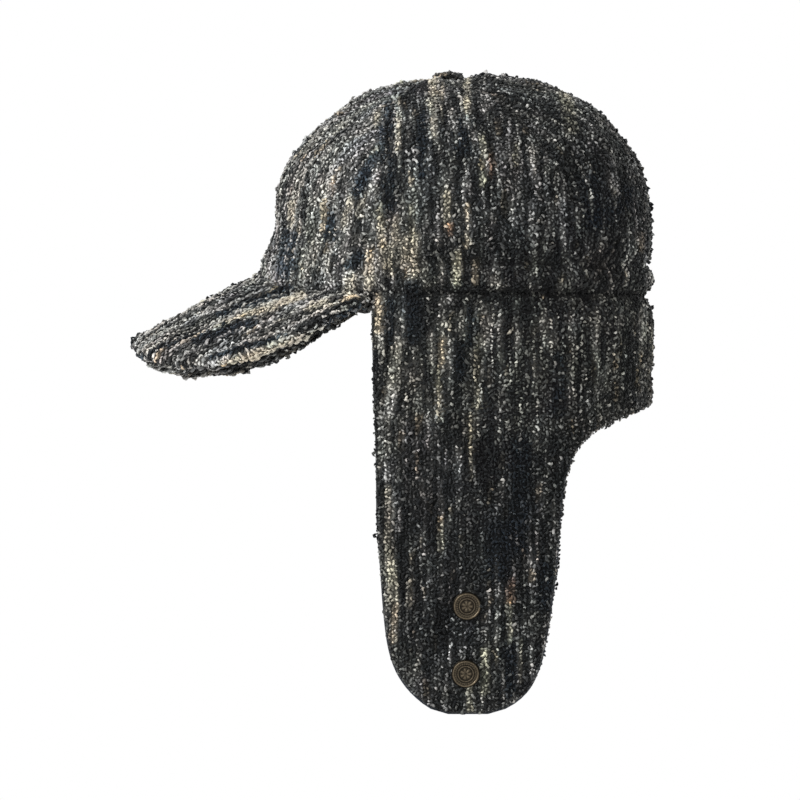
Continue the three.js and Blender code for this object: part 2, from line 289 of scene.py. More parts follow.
def put_mesh(name: str, points: Array, corners: Array, sides: Array, material: Material) -> Piece:
    """Makes a piece from arrays.

    Args:
        name: The piece's name.
        points: Vertices in millimetres.
        corners: The vertex of every face corner, face after face.
        sides: How many corners each face has.
        material: The finish.

    Returns:
        The object, smooth shaded, with its place in its mesh.
    """
    mesh = bpy.data.meshes.new(name)
    mesh.vertices.add(len(points))
    mesh.vertices.foreach_set("co", (points * MM).astype(np.float32).ravel())
    mesh.loops.add(len(corners))
    mesh.loops.foreach_set("vertex_index", corners.astype(np.int32))
    mesh.polygons.add(len(sides))
    starts = np.concatenate([[0], np.cumsum(sides)[:-1]])
    mesh.polygons.foreach_set("loop_start", starts.astype(np.int32))
    mesh.polygons.foreach_set("use_smooth", np.ones(len(sides), bool))
    mesh.update(calc_edges=True)
    mesh.materials.append(material)
    piece = bpy.data.objects.new(name, mesh)
    bpy.context.scene.collection.objects.link(piece)
    return piece


def put_colours(piece: Piece, colours: Array) -> None:
    """Writes a colour for each vertex into the attribute that the cloth's finish reads.

    Args:
        piece: The piece.
        colours: Linear red, green and blue, a row for each vertex.
    """
    attribute = piece.data.color_attributes.new(name=DYE, type="FLOAT_COLOR", domain="POINT")
    full = np.concatenate([colours, np.ones((len(colours), 1))], axis=1)
    attribute.data.foreach_set("color", full.astype(np.float32).ravel())


def cut_size(name: str, points: Array, length: float) -> tuple[tuple[float, float], float]:
    """The flat size of a face of cloth, which it logs.

    Args:
        name: What the cloth is.
        points: The face on a grid, in millimetres.
        length: How long the cut is, in millimetres.

    Returns:
        The width, which is the longest row, and the length, in metres; and the area, the
        sum of the grid's cells, in square metres.
    """
    width = arc_length(points, 1)[:, -1].max()
    right, down = np.diff(points, axis=1)[:-1], np.diff(points, axis=0)[:, :-1]
    area = float(np.linalg.norm(np.cross(right, down), axis=-1).sum()) * MM * MM
    flat = (float(width) * MM, float(length) * MM)
    log.info("%s is cut to %.3f by %.3f m, area %.4f", name, *flat, area)
    return flat, area


def grid_quads(rows: int, columns: int, closed: bool = False) -> Array:
    """The four corners of each square of a grid whose vertices are numbered row by row.

    Args:
        rows: How many rows of vertices.
        columns: How many vertices in a row.
        closed: Whether the last column joins the first.

    Returns:
        An array with four vertex numbers a row.
    """
    squares = columns if closed else columns - 1
    row, left = np.meshgrid(np.arange(rows - 1) * columns, np.arange(squares), indexing="ij")
    below, right = row + columns, (left + 1) % columns
    return np.stack([row + left, row + right, below + right, below + left], -1).reshape(-1, 4)


def wall(outer: Array, inner: Array) -> tuple[Array, Array]:
    """One closed body from an outer and an inner face on the same grid.

    Args:
        outer: Points of the outer face, rows by columns by 3.
        inner: Points of the inner face.

    Returns:
        The vertices, and the quads of both faces and of the four walls between them.
    """
    rows, columns = outer.shape[:2]
    count = rows * columns
    number = np.arange(count).reshape(rows, columns)
    rim = np.concatenate([number[0, :-1], number[:-1, -1], number[-1, :0:-1], number[:0:-1, 0]])
    following = np.roll(rim, -1)
    edge = np.stack([rim, rim + count, following + count, following], axis=1)
    face = grid_quads(rows, columns)
    quads = np.concatenate([face, face[:, ::-1] + count, edge])
    points = np.concatenate([outer.reshape(-1, 3), inner.reshape(-1, 3)])
    a, b, c, d = (points[quads[:, k]] for k in range(4))
    volume = (np.cross(b - a, c - a) * a).sum() + (np.cross(c - a, d - a) * a).sum()
    return points, quads if volume > 0 else quads[:, ::-1]


def put_wall(name: str, outer: Array, inner: Array, material: Material) -> Piece:
    """Makes a piece that is a wall between two faces."""
    points, quads = wall(outer, inner)
    return put_mesh(name, points, quads.ravel(), np.full(len(quads), 4), material)


# Finishes

DYE = "dye"  # the colour attribute of dyed pieces


class Nodes:
    """A new material whose nodes are added one by one and wired to its shader."""

    def __init__(self, name: str) -> None:
        """Starts the material with a bare shader.

        Args:
            name: The material's name.
        """
        self.material = bpy.data.materials.new(name)
        self.material.use_nodes = True
        self.tree = self.material.node_tree
        self.shader = next(n for n in self.tree.nodes if n.type == "BSDF_PRINCIPLED")
        self.place = self.add("ShaderNodeTexCoord").outputs["Object"]

    def add(self, kind: str, **inputs: object) -> bpy.types.Node:
        """Adds a node.

        Args:
            kind: Its type.
            inputs: Numbers for its sockets, or outputs of other nodes to link to them.

        Returns:
            The node.
        """
        node = self.tree.nodes.new(kind)
        for key, value in inputs.items():
            socket = node.inputs[key.replace("_", " ")]
            self.feed(socket, value)
        return node

    def feed(self, socket: Socket, value: object) -> None:
        """Links an output to a socket, or sets the socket's own value.

        Args:
            socket: The socket.
            value: Another node's output, or a value.
        """
        if isinstance(value, Socket):
            self.tree.links.new(value, socket)
        else:
            socket.default_value = value

    def noise(self, size: float, detail: float = 2.0) -> Socket:
        """Noise in space whose grains are about size millimetres."""
        node = self.add("ShaderNodeTexNoise", Vector=self.place, Scale=1 / (size * MM), Detail=detail)
        return node.outputs["Fac"]

    def between(self, value: Socket, low: float, high: float) -> Socket:
        """Stretches noise, from 0.3 to 0.7, over low to high.

        Args:
            value: The noise.
            low: What 0.3 becomes.
            high: What 0.7 becomes.

        Returns:
            The stretched noise.
        """
        node = self.add("ShaderNodeMapRange", Value=value)
        for key, number in zip(("From Min", "From Max", "To Min", "To Max"), (0.3, 0.7, low, high)):
            node.inputs[key].default_value = number
        return node.outputs["Result"]

    def times(self, colour: Socket, factor: Socket) -> Socket:
        """A colour multiplied by a number.

        Args:
            colour: The colour.
            factor: The number.

        Returns:
            The product.
        """
        node = self.tree.nodes.new("ShaderNodeVectorMath")
        node.operation = "SCALE"
        self.feed(node.inputs[0], colour)
        self.feed(node.inputs["Scale"], factor)
        return node.outputs[0]

    def bump(self, height: Socket, depth: float, strength: float = 1.0) -> None:
        """Bumps the shader by a height of depth millimetres."""
        node = self.add("ShaderNodeBump", Height=height, Distance=depth * MM, Strength=strength)
        self.feed(self.shader.inputs["Normal"], node.outputs["Normal"])

    def dye(self) -> Socket:
        """Adds the colour attribute of dyed pieces and returns its colour."""
        node = self.tree.nodes.new("ShaderNodeAttribute")
        node.attribute_name = DYE
        return node.outputs["Color"]

    def settings(self, **values: object) -> None:
        """Sets the shader's own sockets."""
        for key, value in values.items():
            self.feed(self.shader.inputs[key.replace("_", " ")], value)


@dataclass(frozen=True)
class YarnFinish:
    """Wool-like yarn: dyed by the piece's attribute, matt, with fibres as fine bumps."""

    name: str
    fibre: float = 0.35
    depth: float = 0.16
    darkest: float = 0.7
    lightest: float = 1.3

    def material(self) -> Material:
        """Builds the material.

        Returns:
            The material.
        """
        nodes = Nodes(self.name)
        dye = nodes.dye()
        fibres = nodes.noise(self.fibre, 3)
        shade = nodes.between(fibres, self.darkest, self.lightest)
        nodes.settings(Base_Color=nodes.times(dye, shade), Roughness=0.92)
        nodes.settings(Specular_IOR_Level=0.2, Sheen_Weight=0.06, Sheen_Roughness=0.5)
        nodes.bump(fibres, self.depth)
        return nodes.material


@dataclass(frozen=True)
class SatinFinish:
    """Smooth dark satin with fine ribs and a soft shine.

    A wave texture of scale 1 repeats every wave_length metres.
    """

    name: str
    colour: tuple[float, float, float] = (0.007, 0.011, 0.018)
    rib: float = np.pi / 2
    wave_length: float = np.pi / 10

    def material(self) -> Material:
        """Builds the material.

        Returns:
            The material.
        """
        nodes = Nodes(self.name)
        scale = self.wave_length / (self.rib * MM)
        wave = nodes.add("ShaderNodeTexWave", Vector=nodes.place, Scale=scale, Distortion=1.5)
        cloudy = nodes.noise(9.0)
        red, green, blue = self.colour
        base = nodes.add("ShaderNodeCombineColor", Red=red, Green=green, Blue=blue)
        nodes.settings(Base_Color=nodes.times(base.outputs[0], nodes.between(cloudy, 0.75, 1.35)))
        nodes.settings(Roughness=nodes.between(cloudy, 0.4, 0.55), Specular_IOR_Level=0.3)
        nodes.settings(Sheen_Weight=0.05, Sheen_Roughness=0.3)
        nodes.bump(wave.outputs["Fac"], 0.02, 0.5)
        return nodes.material


@dataclass(frozen=True)
class BrassFinish:
    """Antiqued brass: dark in the hollows, rubbed brighter where the attribute is high."""

    name: str

    def material(self) -> Material:
        """Builds the material.

        Returns:
            The material.
        """
        nodes = Nodes(self.name)
        dye = nodes.dye()
        grime = nodes.noise(0.8, 4)
        nodes.settings(Base_Color=nodes.times(dye, nodes.between(grime, 0.6, 1.3)))
        nodes.settings(Metallic=1.0, Roughness=nodes.between(nodes.noise(1.7), 0.38, 0.62))
        nodes.bump(grime, 0.03)
        return nodes.material


# Dye of the yarn, with a band of painted shade under the rim


@dataclass(frozen=True)
class Streak:
    """A light or dark streak that shows on the wearer's left side.

    Its ends and half width are in pixels of the side view, in an 800 pixel square frame.
    """

    from_x: float
    from_y: float
    to_x: float
    to_y: float
    half_width: float
    shift: float
    tint: Tint = Tint.PLAIN


@dataclass(frozen=True)
class View:
    """The photograph's view of the hat: level, and nearly square to the wearer's left side.

    Lengths are metres, the azimuth is in degrees and a frame is 800 pixels wide.
    """

    target: tuple[float, float, float] = (-0.0291, 0.0, -0.0583)
    distance: float = 8.0
    frame_width: float = 0.435
    azimuth: float = 1.0
    pixels: int = 800

    def axes(self) -> tuple[Array, Array]:
        """Unit vectors to the right of the view and back towards the camera."""
        turn = np.radians(self.azimuth)
        return np.array([np.cos(turn), np.sin(turn), 0]), np.array([np.sin(turn), -np.cos(turn), 0])

    def seen_at(self, points: Array) -> tuple[Array, Array]:
        """The pixels at which points show.

        A pixel is the frame's width over its pixels, times the point's share of the distance.

        Args:
            points: Places in millimetres.

        Returns:
            Pixels across and down.
        """
        right, back = self.axes()
        place = points * MM - self.target
        pixel = self.frame_width / self.pixels * (self.distance - place @ back) / self.distance
        middle = self.pixels / 2
        return middle + place @ right / pixel, middle - place[..., 2] / pixel


def chart() -> tuple[Streak, ...]:
    """The streaks on each part of the hat, laid down one by one.

    A row has a streak's two ends, each across and down, its half width, its shift of tone
    and, where it has one, its tint.

    Returns:
        The streaks.
    """
    beige, cream, tan = Tint.BEIGE, Tint.CREAM, Tint.TAN
    rust, olive, navy = Tint.RUST, Tint.OLIVE, Tint.NAVY
    rows = (
        # broad zones; the band from (404, 303) to (646, 306) is painted shade under the rolled rim
        (600, 330, 600, 390, 40, 0.2), (440, 350, 620, 350, 70, 0, beige),
        (458, 470, 470, 575, 70, -0.52), (404, 303, 646, 306, 9, -0.4), (400, 277, 620, 277, 12, 0.14),
        # side panel of the crown
        (500, 77, 574, 97, 5, 0.6), (565, 96, 572, 130, 7, 1, cream), (504, 200, 504, 240, 5, 0.5),
        (390, 108, 384, 150, 7, -0.8, navy), (388, 160, 389, 204, 7, -1.2, navy),
        (398, 100, 397, 148, 3, 2.6, cream), (396, 218, 390, 275, 4, 1.2, cream),
        (402, 240, 402, 262, 5, 1, cream), (408, 158, 408, 200, 2, 0.8), (412, 136, 412, 156, 4, -0.8),
        (423, 115, 423, 172, 6, -0.6, navy), (430, 174, 430, 192, 4, 0.7),
        (410, 206, 411, 232, 3, 1.1, cream), (433, 76, 432, 134, 5, 2.3, cream),
        (442, 85, 442, 124, 2, 0.6, cream), (463, 124, 463, 148, 9, -0.7, navy),
        (467, 72, 467, 124, 3.5, 2.1, cream), (467, 160, 467, 186, 2, 1.4),
        (467, 205, 467, 246, 2.6, 2, cream), (475, 236, 475, 256, 4, -0.8),
        (485, 82, 485, 112, 2.5, 1.2), (493, 112, 493, 134, 5, -0.8),
        (483, 136, 483, 184, 3.5, 1, olive), (492, 156, 492, 174, 3, 0.5, rust),
        (508, 130, 508, 160, 3, 1.1), (516, 145, 516, 165, 2.5, 0.9, olive),
        (522, 174, 522, 198, 3.5, 0.9), (538, 98, 537, 148, 4, 0.8), (506, 110, 506, 128, 5, -0.8),
        (533, 156, 533, 185, 2.5, 1), (546, 158, 546, 182, 2.5, 0.9), (557, 172, 557, 194, 5, -0.8),
        (530, 200, 530, 236, 2.5, 0.9), (535, 240, 535, 276, 2.5, 0.9), (561, 190, 561, 232, 2.5, 0.8),
        (548, 178, 550, 236, 5, -0.8), (413, 238, 414, 274, 6, 1.8, cream),
        (427, 266, 427, 288, 4, 0.9), (447, 195, 447, 224, 5, 1.3, cream),
        (450, 226, 450, 233, 3, 1, rust), (440, 216, 440, 240, 2.5, 0.9), (428, 216, 428, 234, 4, 0.8),
        (457, 256, 457, 284, 5, 1.8, olive), (476, 262, 476, 285, 3, 1.3, tan),
        (497, 258, 497, 284, 4, 1.4), (435, 250, 435, 272, 5, -1), (486, 252, 486, 298, 4, -1),
        (506, 272, 506, 300, 4, -0.9), (554, 248, 550, 288, 8, -1), (546, 228, 546, 244, 4, 0.6),
        (448, 104, 448, 160, 4, -0.5),
        # back panel of the crown
        (612, 150, 619, 194, 3, 1.1), (590, 130, 590, 178, 3, 0.8), (628, 194, 600, 222, 9, -0.8, navy),
        (590, 182, 591, 222, 9, -0.6, navy), (588, 236, 588, 256, 6, 0.6), (600, 268, 600, 288, 5, 0.6),
        (642, 235, 642, 250, 3, 1.3, tan), (622, 202, 622, 224, 5, -0.6),
        # front panel of the crown
        (335, 168, 330, 186, 5, 0.7), (330, 188, 324, 215, 7, 0.3), (364, 158, 378, 147, 3, 0.9, cream),
        (376, 124, 379, 110, 4, 0.6, cream), (374, 164, 374, 197, 3, 1.2),
        (371, 158, 357, 191, 6, -1.2, navy), (381, 208, 382, 246, 4, 1.1, cream),
        (384, 246, 384, 266, 5, 1, cream), (291, 204, 290, 226, 4, 0.7, cream),
        (352, 196, 342, 226, 4, 0.5, cream), (363, 194, 358, 215, 4, 0.5, cream),
        (303, 194, 303, 215, 4, -0.8), (289, 240, 286, 270, 9, -0.8, navy), (276, 281, 270, 291, 4, 1),
        (331, 218, 330, 236, 6, -0.8, navy), (359, 257, 348, 268, 6, -1.1, navy),
        (350, 276, 350, 292, 5.5, 3.1, cream), (369, 255, 369, 285, 5, 2.1, cream),
        (309, 272, 309, 289, 5, -0.8), (337, 286, 337, 298, 5, -0.9),
        # neck and upper flap
        (378, 296, 378, 330, 4, 2.1, tan), (378, 332, 378, 346, 4, 1.6),
        (390, 300, 390, 340, 4, -1.2, navy), (401, 294, 403, 342, 3, 1.3), (398, 344, 388, 414, 6, 1.4),
        (413, 290, 413, 336, 7, -1.1, navy), (375, 350, 375, 426, 3, -0.7),
        (442, 300, 442, 338, 3, 1.1), (442, 341, 441, 363, 3.5, 1.7, tan),
        (439, 367, 439, 420, 2.2, 1.4, cream), (453, 340, 453, 370, 2, 1),
        (462, 312, 462, 338, 3.5, 1.2), (460, 346, 460, 376, 5, -1.2, navy),
        (472, 310, 472, 344, 4, -1, navy), (476, 294, 476, 308, 5, -0.7),
        (477, 336, 477, 408, 2.5, 1.5, cream), (481, 302, 485, 344, 6, 1.3),
        (487, 306, 487, 322, 4, 0.8), (496, 332, 496, 360, 4, -0.9), (541, 336, 541, 358, 5, -0.8),
        (508, 300, 508, 350, 4, -1), (517, 300, 517, 348, 2, 1.2), (523, 296, 523, 318, 7, -1),
        (546, 312, 546, 344, 4, 0.8), (557, 308, 557, 330, 5, -0.8), (547, 356, 547, 384, 5, -0.8),
        (500, 368, 500, 394, 6, -0.7), (464, 372, 465, 412, 3.5, 0.9), (510, 402, 510, 426, 3, 1.1),
        (543, 412, 543, 438, 4, -0.7), (577, 296, 577, 312, 5, -0.8), (428, 418, 428, 444, 6, 1.1),
        (408, 442, 408, 460, 4, 0.8), (420, 394, 420, 412, 5, 0.8), (444, 448, 444, 470, 5, -0.7),
        (400, 418, 400, 438, 4, 1.1), (575, 300, 575, 350, 4, 0.8), (559, 358, 559, 412, 5, -1.1, navy),
        (582, 362, 582, 388, 5, -0.8), (605, 368, 605, 390, 4, 0.8), (597, 320, 597, 360, 3, 1),
        (612, 345, 612, 370, 3, 1), (645, 300, 645, 340, 3, 1), (630, 332, 630, 400, 6, -1),
        # lower flap
        (381, 416, 383, 478, 4.5, 1.1), (386, 490, 388, 552, 5, 1.1, cream),
        (390, 562, 394, 598, 5.5, 2, cream), (395, 606, 393, 640, 3.5, 1.2, tan),
        (404, 608, 404, 632, 4, 0.9), (402, 538, 402, 592, 4, -1), (399, 488, 400, 506, 4, -1),
        (409, 508, 409, 538, 5, -1.2), (432, 552, 432, 584, 5, 1.2), (457, 554, 457, 584, 4, -0.9),
        (472, 512, 472, 545, 4, -0.8), (557, 442, 563, 468, 9, -1.2), (585, 418, 582, 440, 7, -1),
        (441, 480, 441, 600, 2.2, 1.2), (421, 470, 424, 560, 2.2, 0.7), (456, 450, 456, 502, 4.5, 1.2),
        (441, 520, 441, 550, 3, 0.6, cream), (410, 582, 410, 604, 3, 1, cream),
        (470, 415, 471, 478, 3, 1.3, cream), (484, 442, 483, 482, 7, -1.1),
        (503, 432, 498, 515, 3, 0.7), (521, 446, 519, 548, 9, -1.2, navy), (541, 482, 542, 515, 4, 0.8),
        (538, 456, 538, 476, 5, -0.7), (502, 532, 497, 572, 11, -0.85, navy),
        (546, 566, 546, 604, 6, -1.1, navy), (511, 582, 511, 600, 4, 1, rust),
        (519, 580, 519, 600, 4, 0.8), (484, 526, 484, 548, 5, -0.7),
        (510, 602, 510, 640, 3, 1.1, olive), (532, 560, 532, 604, 3, 1), (498, 590, 498, 640, 3, 1),
        (442, 560, 438, 650, 7, -0.7), (485, 652, 485, 692, 4.5, 1.6, olive),
        (497, 660, 497, 690, 2.5, 1), (521, 640, 521, 682, 2.5, 1.1, cream),
        (510, 650, 510, 692, 6, -1.1, navy), (470, 688, 470, 712, 3, 1.4, cream),
        (446, 688, 446, 708, 5, 0.8), (425, 670, 425, 692, 5, -0.7), (488, 596, 488, 616, 4, 0.8),
        (527, 618, 527, 640, 6, -0.8), (404, 662, 408, 684, 5, 0.8),
        # visor
        (222, 304, 200, 314, 4, 1), (290, 288, 221, 314, 3.5, -1.6, navy),
        (303, 295, 244, 315, 4, 2.8, cream), (242, 315, 214, 328, 2, 1.7, cream),
        (330, 302, 308, 308, 4, 0.8, cream), (250, 322, 195, 338, 5, -1.7, navy),
        (293, 327, 217, 350, 1.5, 1.4), (290, 334, 210, 357, 2.4, -1.3, navy),
        (322, 335, 226, 366, 6, 3.1, cream), (258, 364, 222, 374, 5, 2.3, cream),
        (240, 336, 214, 347, 5, -1.3), (240, 345, 210, 358, 4, -0.8),
        (292, 356, 264, 369, 3, -1.2, navy), (168, 346, 150, 358, 4, -0.8), (194, 350, 178, 358, 5, 1),
        (186, 336, 142, 357, 2.5, -1.2, navy), (362, 306, 330, 324, 5, -1.2, navy),
    )
    return tuple(Streak(*row) for row in rows)


@dataclass(frozen=True)
class Strewn:
    """Streaks laid by chance: grains of noise, which show where the noise is high."""

    width: float
    length: float
    shows_from: float
    full_from: float
    tint: Tint
    shift: float = 0.0

    def weight(self, across: Array, along: Array, seed: int) -> Array:
        """How much of it is at each place, from 0 to 1."""
        noise = lattice_noise(across / self.width, along / self.length, seed)
        return ramp(noise, self.shows_from, self.full_from)

    def tinting(self, weight: Array) -> Array:
        """What it does to red, green and blue where it has a weight."""
        return mix(1.0, np.array(self.tint.value), weight[:, None])


@dataclass(frozen=True)
class SpaceDye:
    """Yarn dyed in long stretches: how light it is, and its colour.

    Tone zero is a dark charcoal, and one more of it is about three times as light.
    Lengths are millimetres, and a charted streak's core and fade are shares of its half
    width.
    """

    run_length: float = 15.0
    band_width: float = 8.0
    band_length: float = 38.0
    cloud: float = 68.0
    run_share: float = 0.76
    band_share: float = 0.36
    cloud_share: float = 0.12
    charted_calm: float = 0.5
    left_from: float = 6.0
    streak_core: float = 0.4
    streak_fade: float = 0.75
    hue_grains: tuple[tuple[float, float], ...] = ((3.5, 7.0), (11.0, 20.0))
    warm_cast: float = 0.015
    green_cast: float = 0.006
    flecks: Strewn = Strewn(3.0, 9.0, 1.5, 2.4, Tint.TAN)
    cream: Strewn = Strewn(4.0, 30.0, 1.0, 2.0, Tint.CREAM, 1.3)
    dark: Strewn = Strewn(7.0, 36.0, 0.8, 1.7, Tint.NAVY, -1.0)

    STREAKS = chart()
    TONES = (-2.2, -1.2, -0.2, 0.6, 1.3, 2.0, 2.8)
    REDS = (0.0029, 0.0066, 0.0193, 0.0650, 0.176, 0.362, 0.56)
    GREENS = (0.0036, 0.0080, 0.0210, 0.0665, 0.177, 0.358, 0.55)
    BLUES = (0.0044, 0.0089, 0.0216, 0.0645, 0.169, 0.342, 0.52)

    def tone(
        self, points: Array, across: Array, along: Array, wale: Array, seed: int, stripes: float
    ) -> Array:
        """How light the yarn is: runs along a wale, wider bands, and clouds, added up.

        Args:
            points: Places on the hat.
            across: Millimetres across the wales.
            along: Millimetres along them.
            wale: The number of the wale.
            seed: Picks the pattern of a panel.
            stripes: How much the wales differ, and how much longer their runs are.

        Returns:
            Tones, with zero in the middle.
        """
        runs = lattice_noise(wale.astype(float), along / (self.run_length * stripes), seed)
        bands = lattice_noise(across / self.band_width, along / self.band_length, seed + 1)
        broad = self.band_share * bands + self.cloud_share * wave_noise(points, self.cloud, seed=7)
        return stripes * self.run_share * runs + broad * mix(1.0, self.charted_calm, self.on_left(points))

    def on_left(self, points: Array) -> Array:
        """0 on the wearer's right side and 1 on the left, where the streaks are charted."""
        return ramp(-points[:, 1], 0, self.left_from)

    def colours(self, tones: Array) -> Array:
        """Colours on the scale from blue-black over charcoal and grey-beige to cream."""
        scales = (self.REDS, self.GREENS, self.BLUES)
        return np.stack([np.exp(np.interp(tones, self.TONES, np.log(s))) for s in scales], -1)

    def charted(self, points: Array) -> tuple[Array, Array]:
        """What the charted streaks add to a tone and do to a colour.

        A streak's weight is one in its core, and from there a bell over the distance from
        its middle line, in the side view.

        Args:
            points: Places on the hat.

        Returns:
            What to add to the tones, and factors on red, green and blue.
        """
        shift = np.zeros(len(points))
        tint = np.ones((len(points), 3))
        x, y = View().seen_at(points)
        for streak in self.STREAKS:
            dx, dy = streak.to_x - streak.from_x, streak.to_y - streak.from_y
            share = ((x - streak.from_x) * dx + (y - streak.from_y) * dy) / (dx * dx + dy * dy)
            share = np.clip(share, 0, 1)
            away = np.hypot(x - streak.from_x - share * dx, y - streak.from_y - share * dy)
            away = np.maximum(away - self.streak_core * streak.half_width, 0)
            weight = swell(away, self.streak_fade * streak.half_width)
            shift += weight * streak.shift
            tint *= 1 + weight[:, None] * (np.array(streak.tint.value) - 1)
        left = self.on_left(points)
        return shift * left, mix(1.0, tint, left[:, None])

    def cast(self, across: Array, along: Array, seed: int) -> Array:
        """Turns of hue by chance, from cool to warm and from pink to green, in two sizes.

        Args:
            across: Millimetres across the wales.
            along: Millimetres along them.
            seed: Picks the pattern of a panel.

        Returns:
            Factors on red, green and blue.
        """
        warm, green = 0.0, 0.0
        for number, (width, length) in enumerate(self.hue_grains):
            place = (across / width, along / length)
            warm = warm + self.warm_cast * lattice_noise(*place, seed + 8 + number)
            green = green + self.green_cast * lattice_noise(*place, seed + 10 + number)
        return np.stack([1 + warm - green, 1 + green, 1 - warm - green], -1)

    def by_chance(self, points: Array, across: Array, along: Array, seed: int) -> tuple[Array, Array]:
        """What the cream and dark streaks that are strewn do on the wearer's right side.

        Args:
            points: Places on the hat.
            across: Millimetres across the wales.
            along: Millimetres along them.
            seed: Picks the pattern of a panel.

        Returns:
            What to add to the tones, and factors on red, green and blue.
        """
        right = 1 - self.on_left(points)
        shift, tint = 0.0, 1.0
        for number, strewn in enumerate((self.cream, self.dark)):
            weight = right * strewn.weight(across, along, seed + 6 + number)
            shift = shift + strewn.shift * weight
            tint = tint * strewn.tinting(weight)
        return shift, tint


# The looped cloth


@dataclass
class Patch:
    """A face of cloth on a grid, with the grain of the cloth.

    across and along are millimetres across the wales and along them, seed picks the
    pattern, level is how light the dye is, curl is how long its loops are, stripes is how
    much the wales differ, lie is the least and the greatest angle of a loop to its wale,
    cells are the two coordinates that loops are spread over, open_to goes from 0 in a
    seam to 1 away from it, and bare marks where a snap presses the loops flat.
    """

    points: Array
    across: Array
    along: Array
    outward: Array
    seed: int
    level: float = 0.0
    curl: float = 1.0
    stripes: float = 1.0
    lie: tuple[float, float] = (5.0, 80.0)
    cells: tuple[Array, Array] = field(init=False)
    normals: Array = field(init=False)
    open_to: Array = field(init=False)
    bare: Array = field(init=False)

    def __post_init__(self) -> None:
        """Works out which way the face looks."""
        self.face()
        self.cells = (self.across, self.along)
        self.open_to = np.ones(self.across.shape)
        self.bare = np.zeros(self.across.shape, bool)

    def face(self) -> None:
        """Normals: cross products of the grid's own steps, turned outward as a whole."""
        down, right = slopes(self.points)
        normals = unit(np.cross(right, down))
        self.normals = normals * np.sign((normals * self.outward).sum())

    def wales(self) -> Array:
        """The direction in which a wale runs, along which across doesn't change.

        It is the step down times what across gains to the right, less the step to the right
        times what across gains down.

        Returns:
            Unit vectors.
        """
        down, right = slopes(self.points)
        by_row, by_column = slopes(self.across)
        return unit(down * by_column[..., None] - right * by_row[..., None])

    def push(self, amount: Array) -> None:
        """Moves the face out along its normals."""
        self.points = self.points + self.normals * amount[..., None]
        self.face()


@dataclass(frozen=True)
class Sewing:
    """How cloth lies at its edges: a valley at a seam and a round turn at a free edge.

    A valley of the usual depth darkens the loops with painted shade as far out as it spreads,
    and a deeper one further.
    """

    valley_spread: float = 2.6
    usual_depth: float = 1.5
    turn: float = 1.1
    wobble: float = 0.45
    wobble_length: float = 26.0

    def settle(self, patch: Patch, seams: Sequence[tuple[Array, float]], free: Sequence[Array]) -> None:
        """Moves a patch's points to lie as sewn cloth does.

        Near a seam it sinks by a bell over the distance. Within a turn's radius r of a free
        edge it sinks by r - sqrt(r^2 - (r - d)^2). All over it swells a little here and there.

        Args:
            patch: The face to move.
            seams: Lines of points that are sewn, each with the depth of its valley.
            free: Lines of points that are free edges.
        """
        sink = -self.wobble * wave_noise(patch.points, self.wobble_length, seed=3)
        for line, depth in seams:
            away = distance_to(patch.points, line)
            sink = sink + depth * swell(away, self.valley_spread)
            reach = self.valley_spread * depth / self.usual_depth
            patch.open_to = np.minimum(patch.open_to, away / reach)
        for line in free:
            short = np.clip(self.turn - distance_to(patch.points, line), 0, self.turn)
            sink = sink + self.turn - np.sqrt(self.turn**2 - short**2)
        patch.push(-sink)


class Curl:
    """The shape of one loop of yarn: two tips, and three rings of three between them."""

    STATIONS = np.array([-1.0, -0.55, 0.05, 0.6, 1.0])
    GIRTHS = np.array([0.95, 1.05, 0.9])
    RING = np.radians([30.0, 150.0, 270.0])
    COUNT = 11

    @classmethod
    def faces(cls) -> tuple[Array, Array, Array]:
        """A loop's faces.

        Returns:
            The vertex of every corner, the number of corners of each face, and every
            corner's place round and along the yarn, as shares.
        """
        corners: list[int] = []
        sides: list[int] = []
        places: list[tuple[float, float]] = []
        for k in range(3):
            after = (k + 1) % 3
            here, there = k / 3, (k + 1) / 3
            corners += [0, 1 + after, 1 + k]
            places += [((here + there) / 2, 0), (there, 0.25), (here, 0.25)]
            sides.append(3)
            for ring in range(2):
                low, high = 1 + 3 * ring, 4 + 3 * ring
                corners += [low + k, low + after, high + after, high + k]
                near, far = 0.25 + 0.25 * ring, 0.5 + 0.25 * ring
                places += [(here, near), (there, near), (there, far), (here, far)]
                sides.append(4)
            corners += [10, 7 + k, 7 + after]
            places += [((here + there) / 2, 1), (here, 0.75), (there, 0.75)]
            sides.append(3)
        return np.array(corners), np.array(sides), np.array(places)

    @classmethod
    def points(cls, base: Array, up: Array, along: Array, size: Array, rise: Array, bend: Array) -> Array:
        """Vertices of many loops at once.

        A station at t lies along + up * rise * (1 - tt) + sideways * bend * (1 - tt) from
        the loop's base, and a ring stands round it in the plane of up and sideways.

        Args:
            base: Middle of each loop's foot.
            up: The way each loop stands.
            along: The way each loop lies.
            size: Half its length and its radius, two numbers for each.
            rise: How high its middle is.
            bend: How far its middle bows sideways.

        Returns:
            Loops by 11 by 3.
        """
        sideways = np.cross(up, along)
        t = cls.STATIONS
        arch = 1 - t * t
        centre = base[:, None] + along[:, None] * (size[:, :1] * t)[..., None]
        centre = centre + up[:, None] * (rise[:, None] * arch)[..., None]
        centre = centre + sideways[:, None] * (bend[:, None] * arch)[..., None]
        girth = size[:, 1, None] * cls.GIRTHS
        cos, sin = np.cos(cls.RING)[:, None], np.sin(cls.RING)[:, None]
        spoke = sideways[:, None, None] * cos + up[:, None, None] * sin
        rings = centre[:, 1:4, None] + spoke * girth[:, :, None, None]
        rings = rings.reshape(len(base), cls.COUNT - 2, 3)
        return np.concatenate([centre[:, :1], rings, centre[:, 4:]], axis=1)


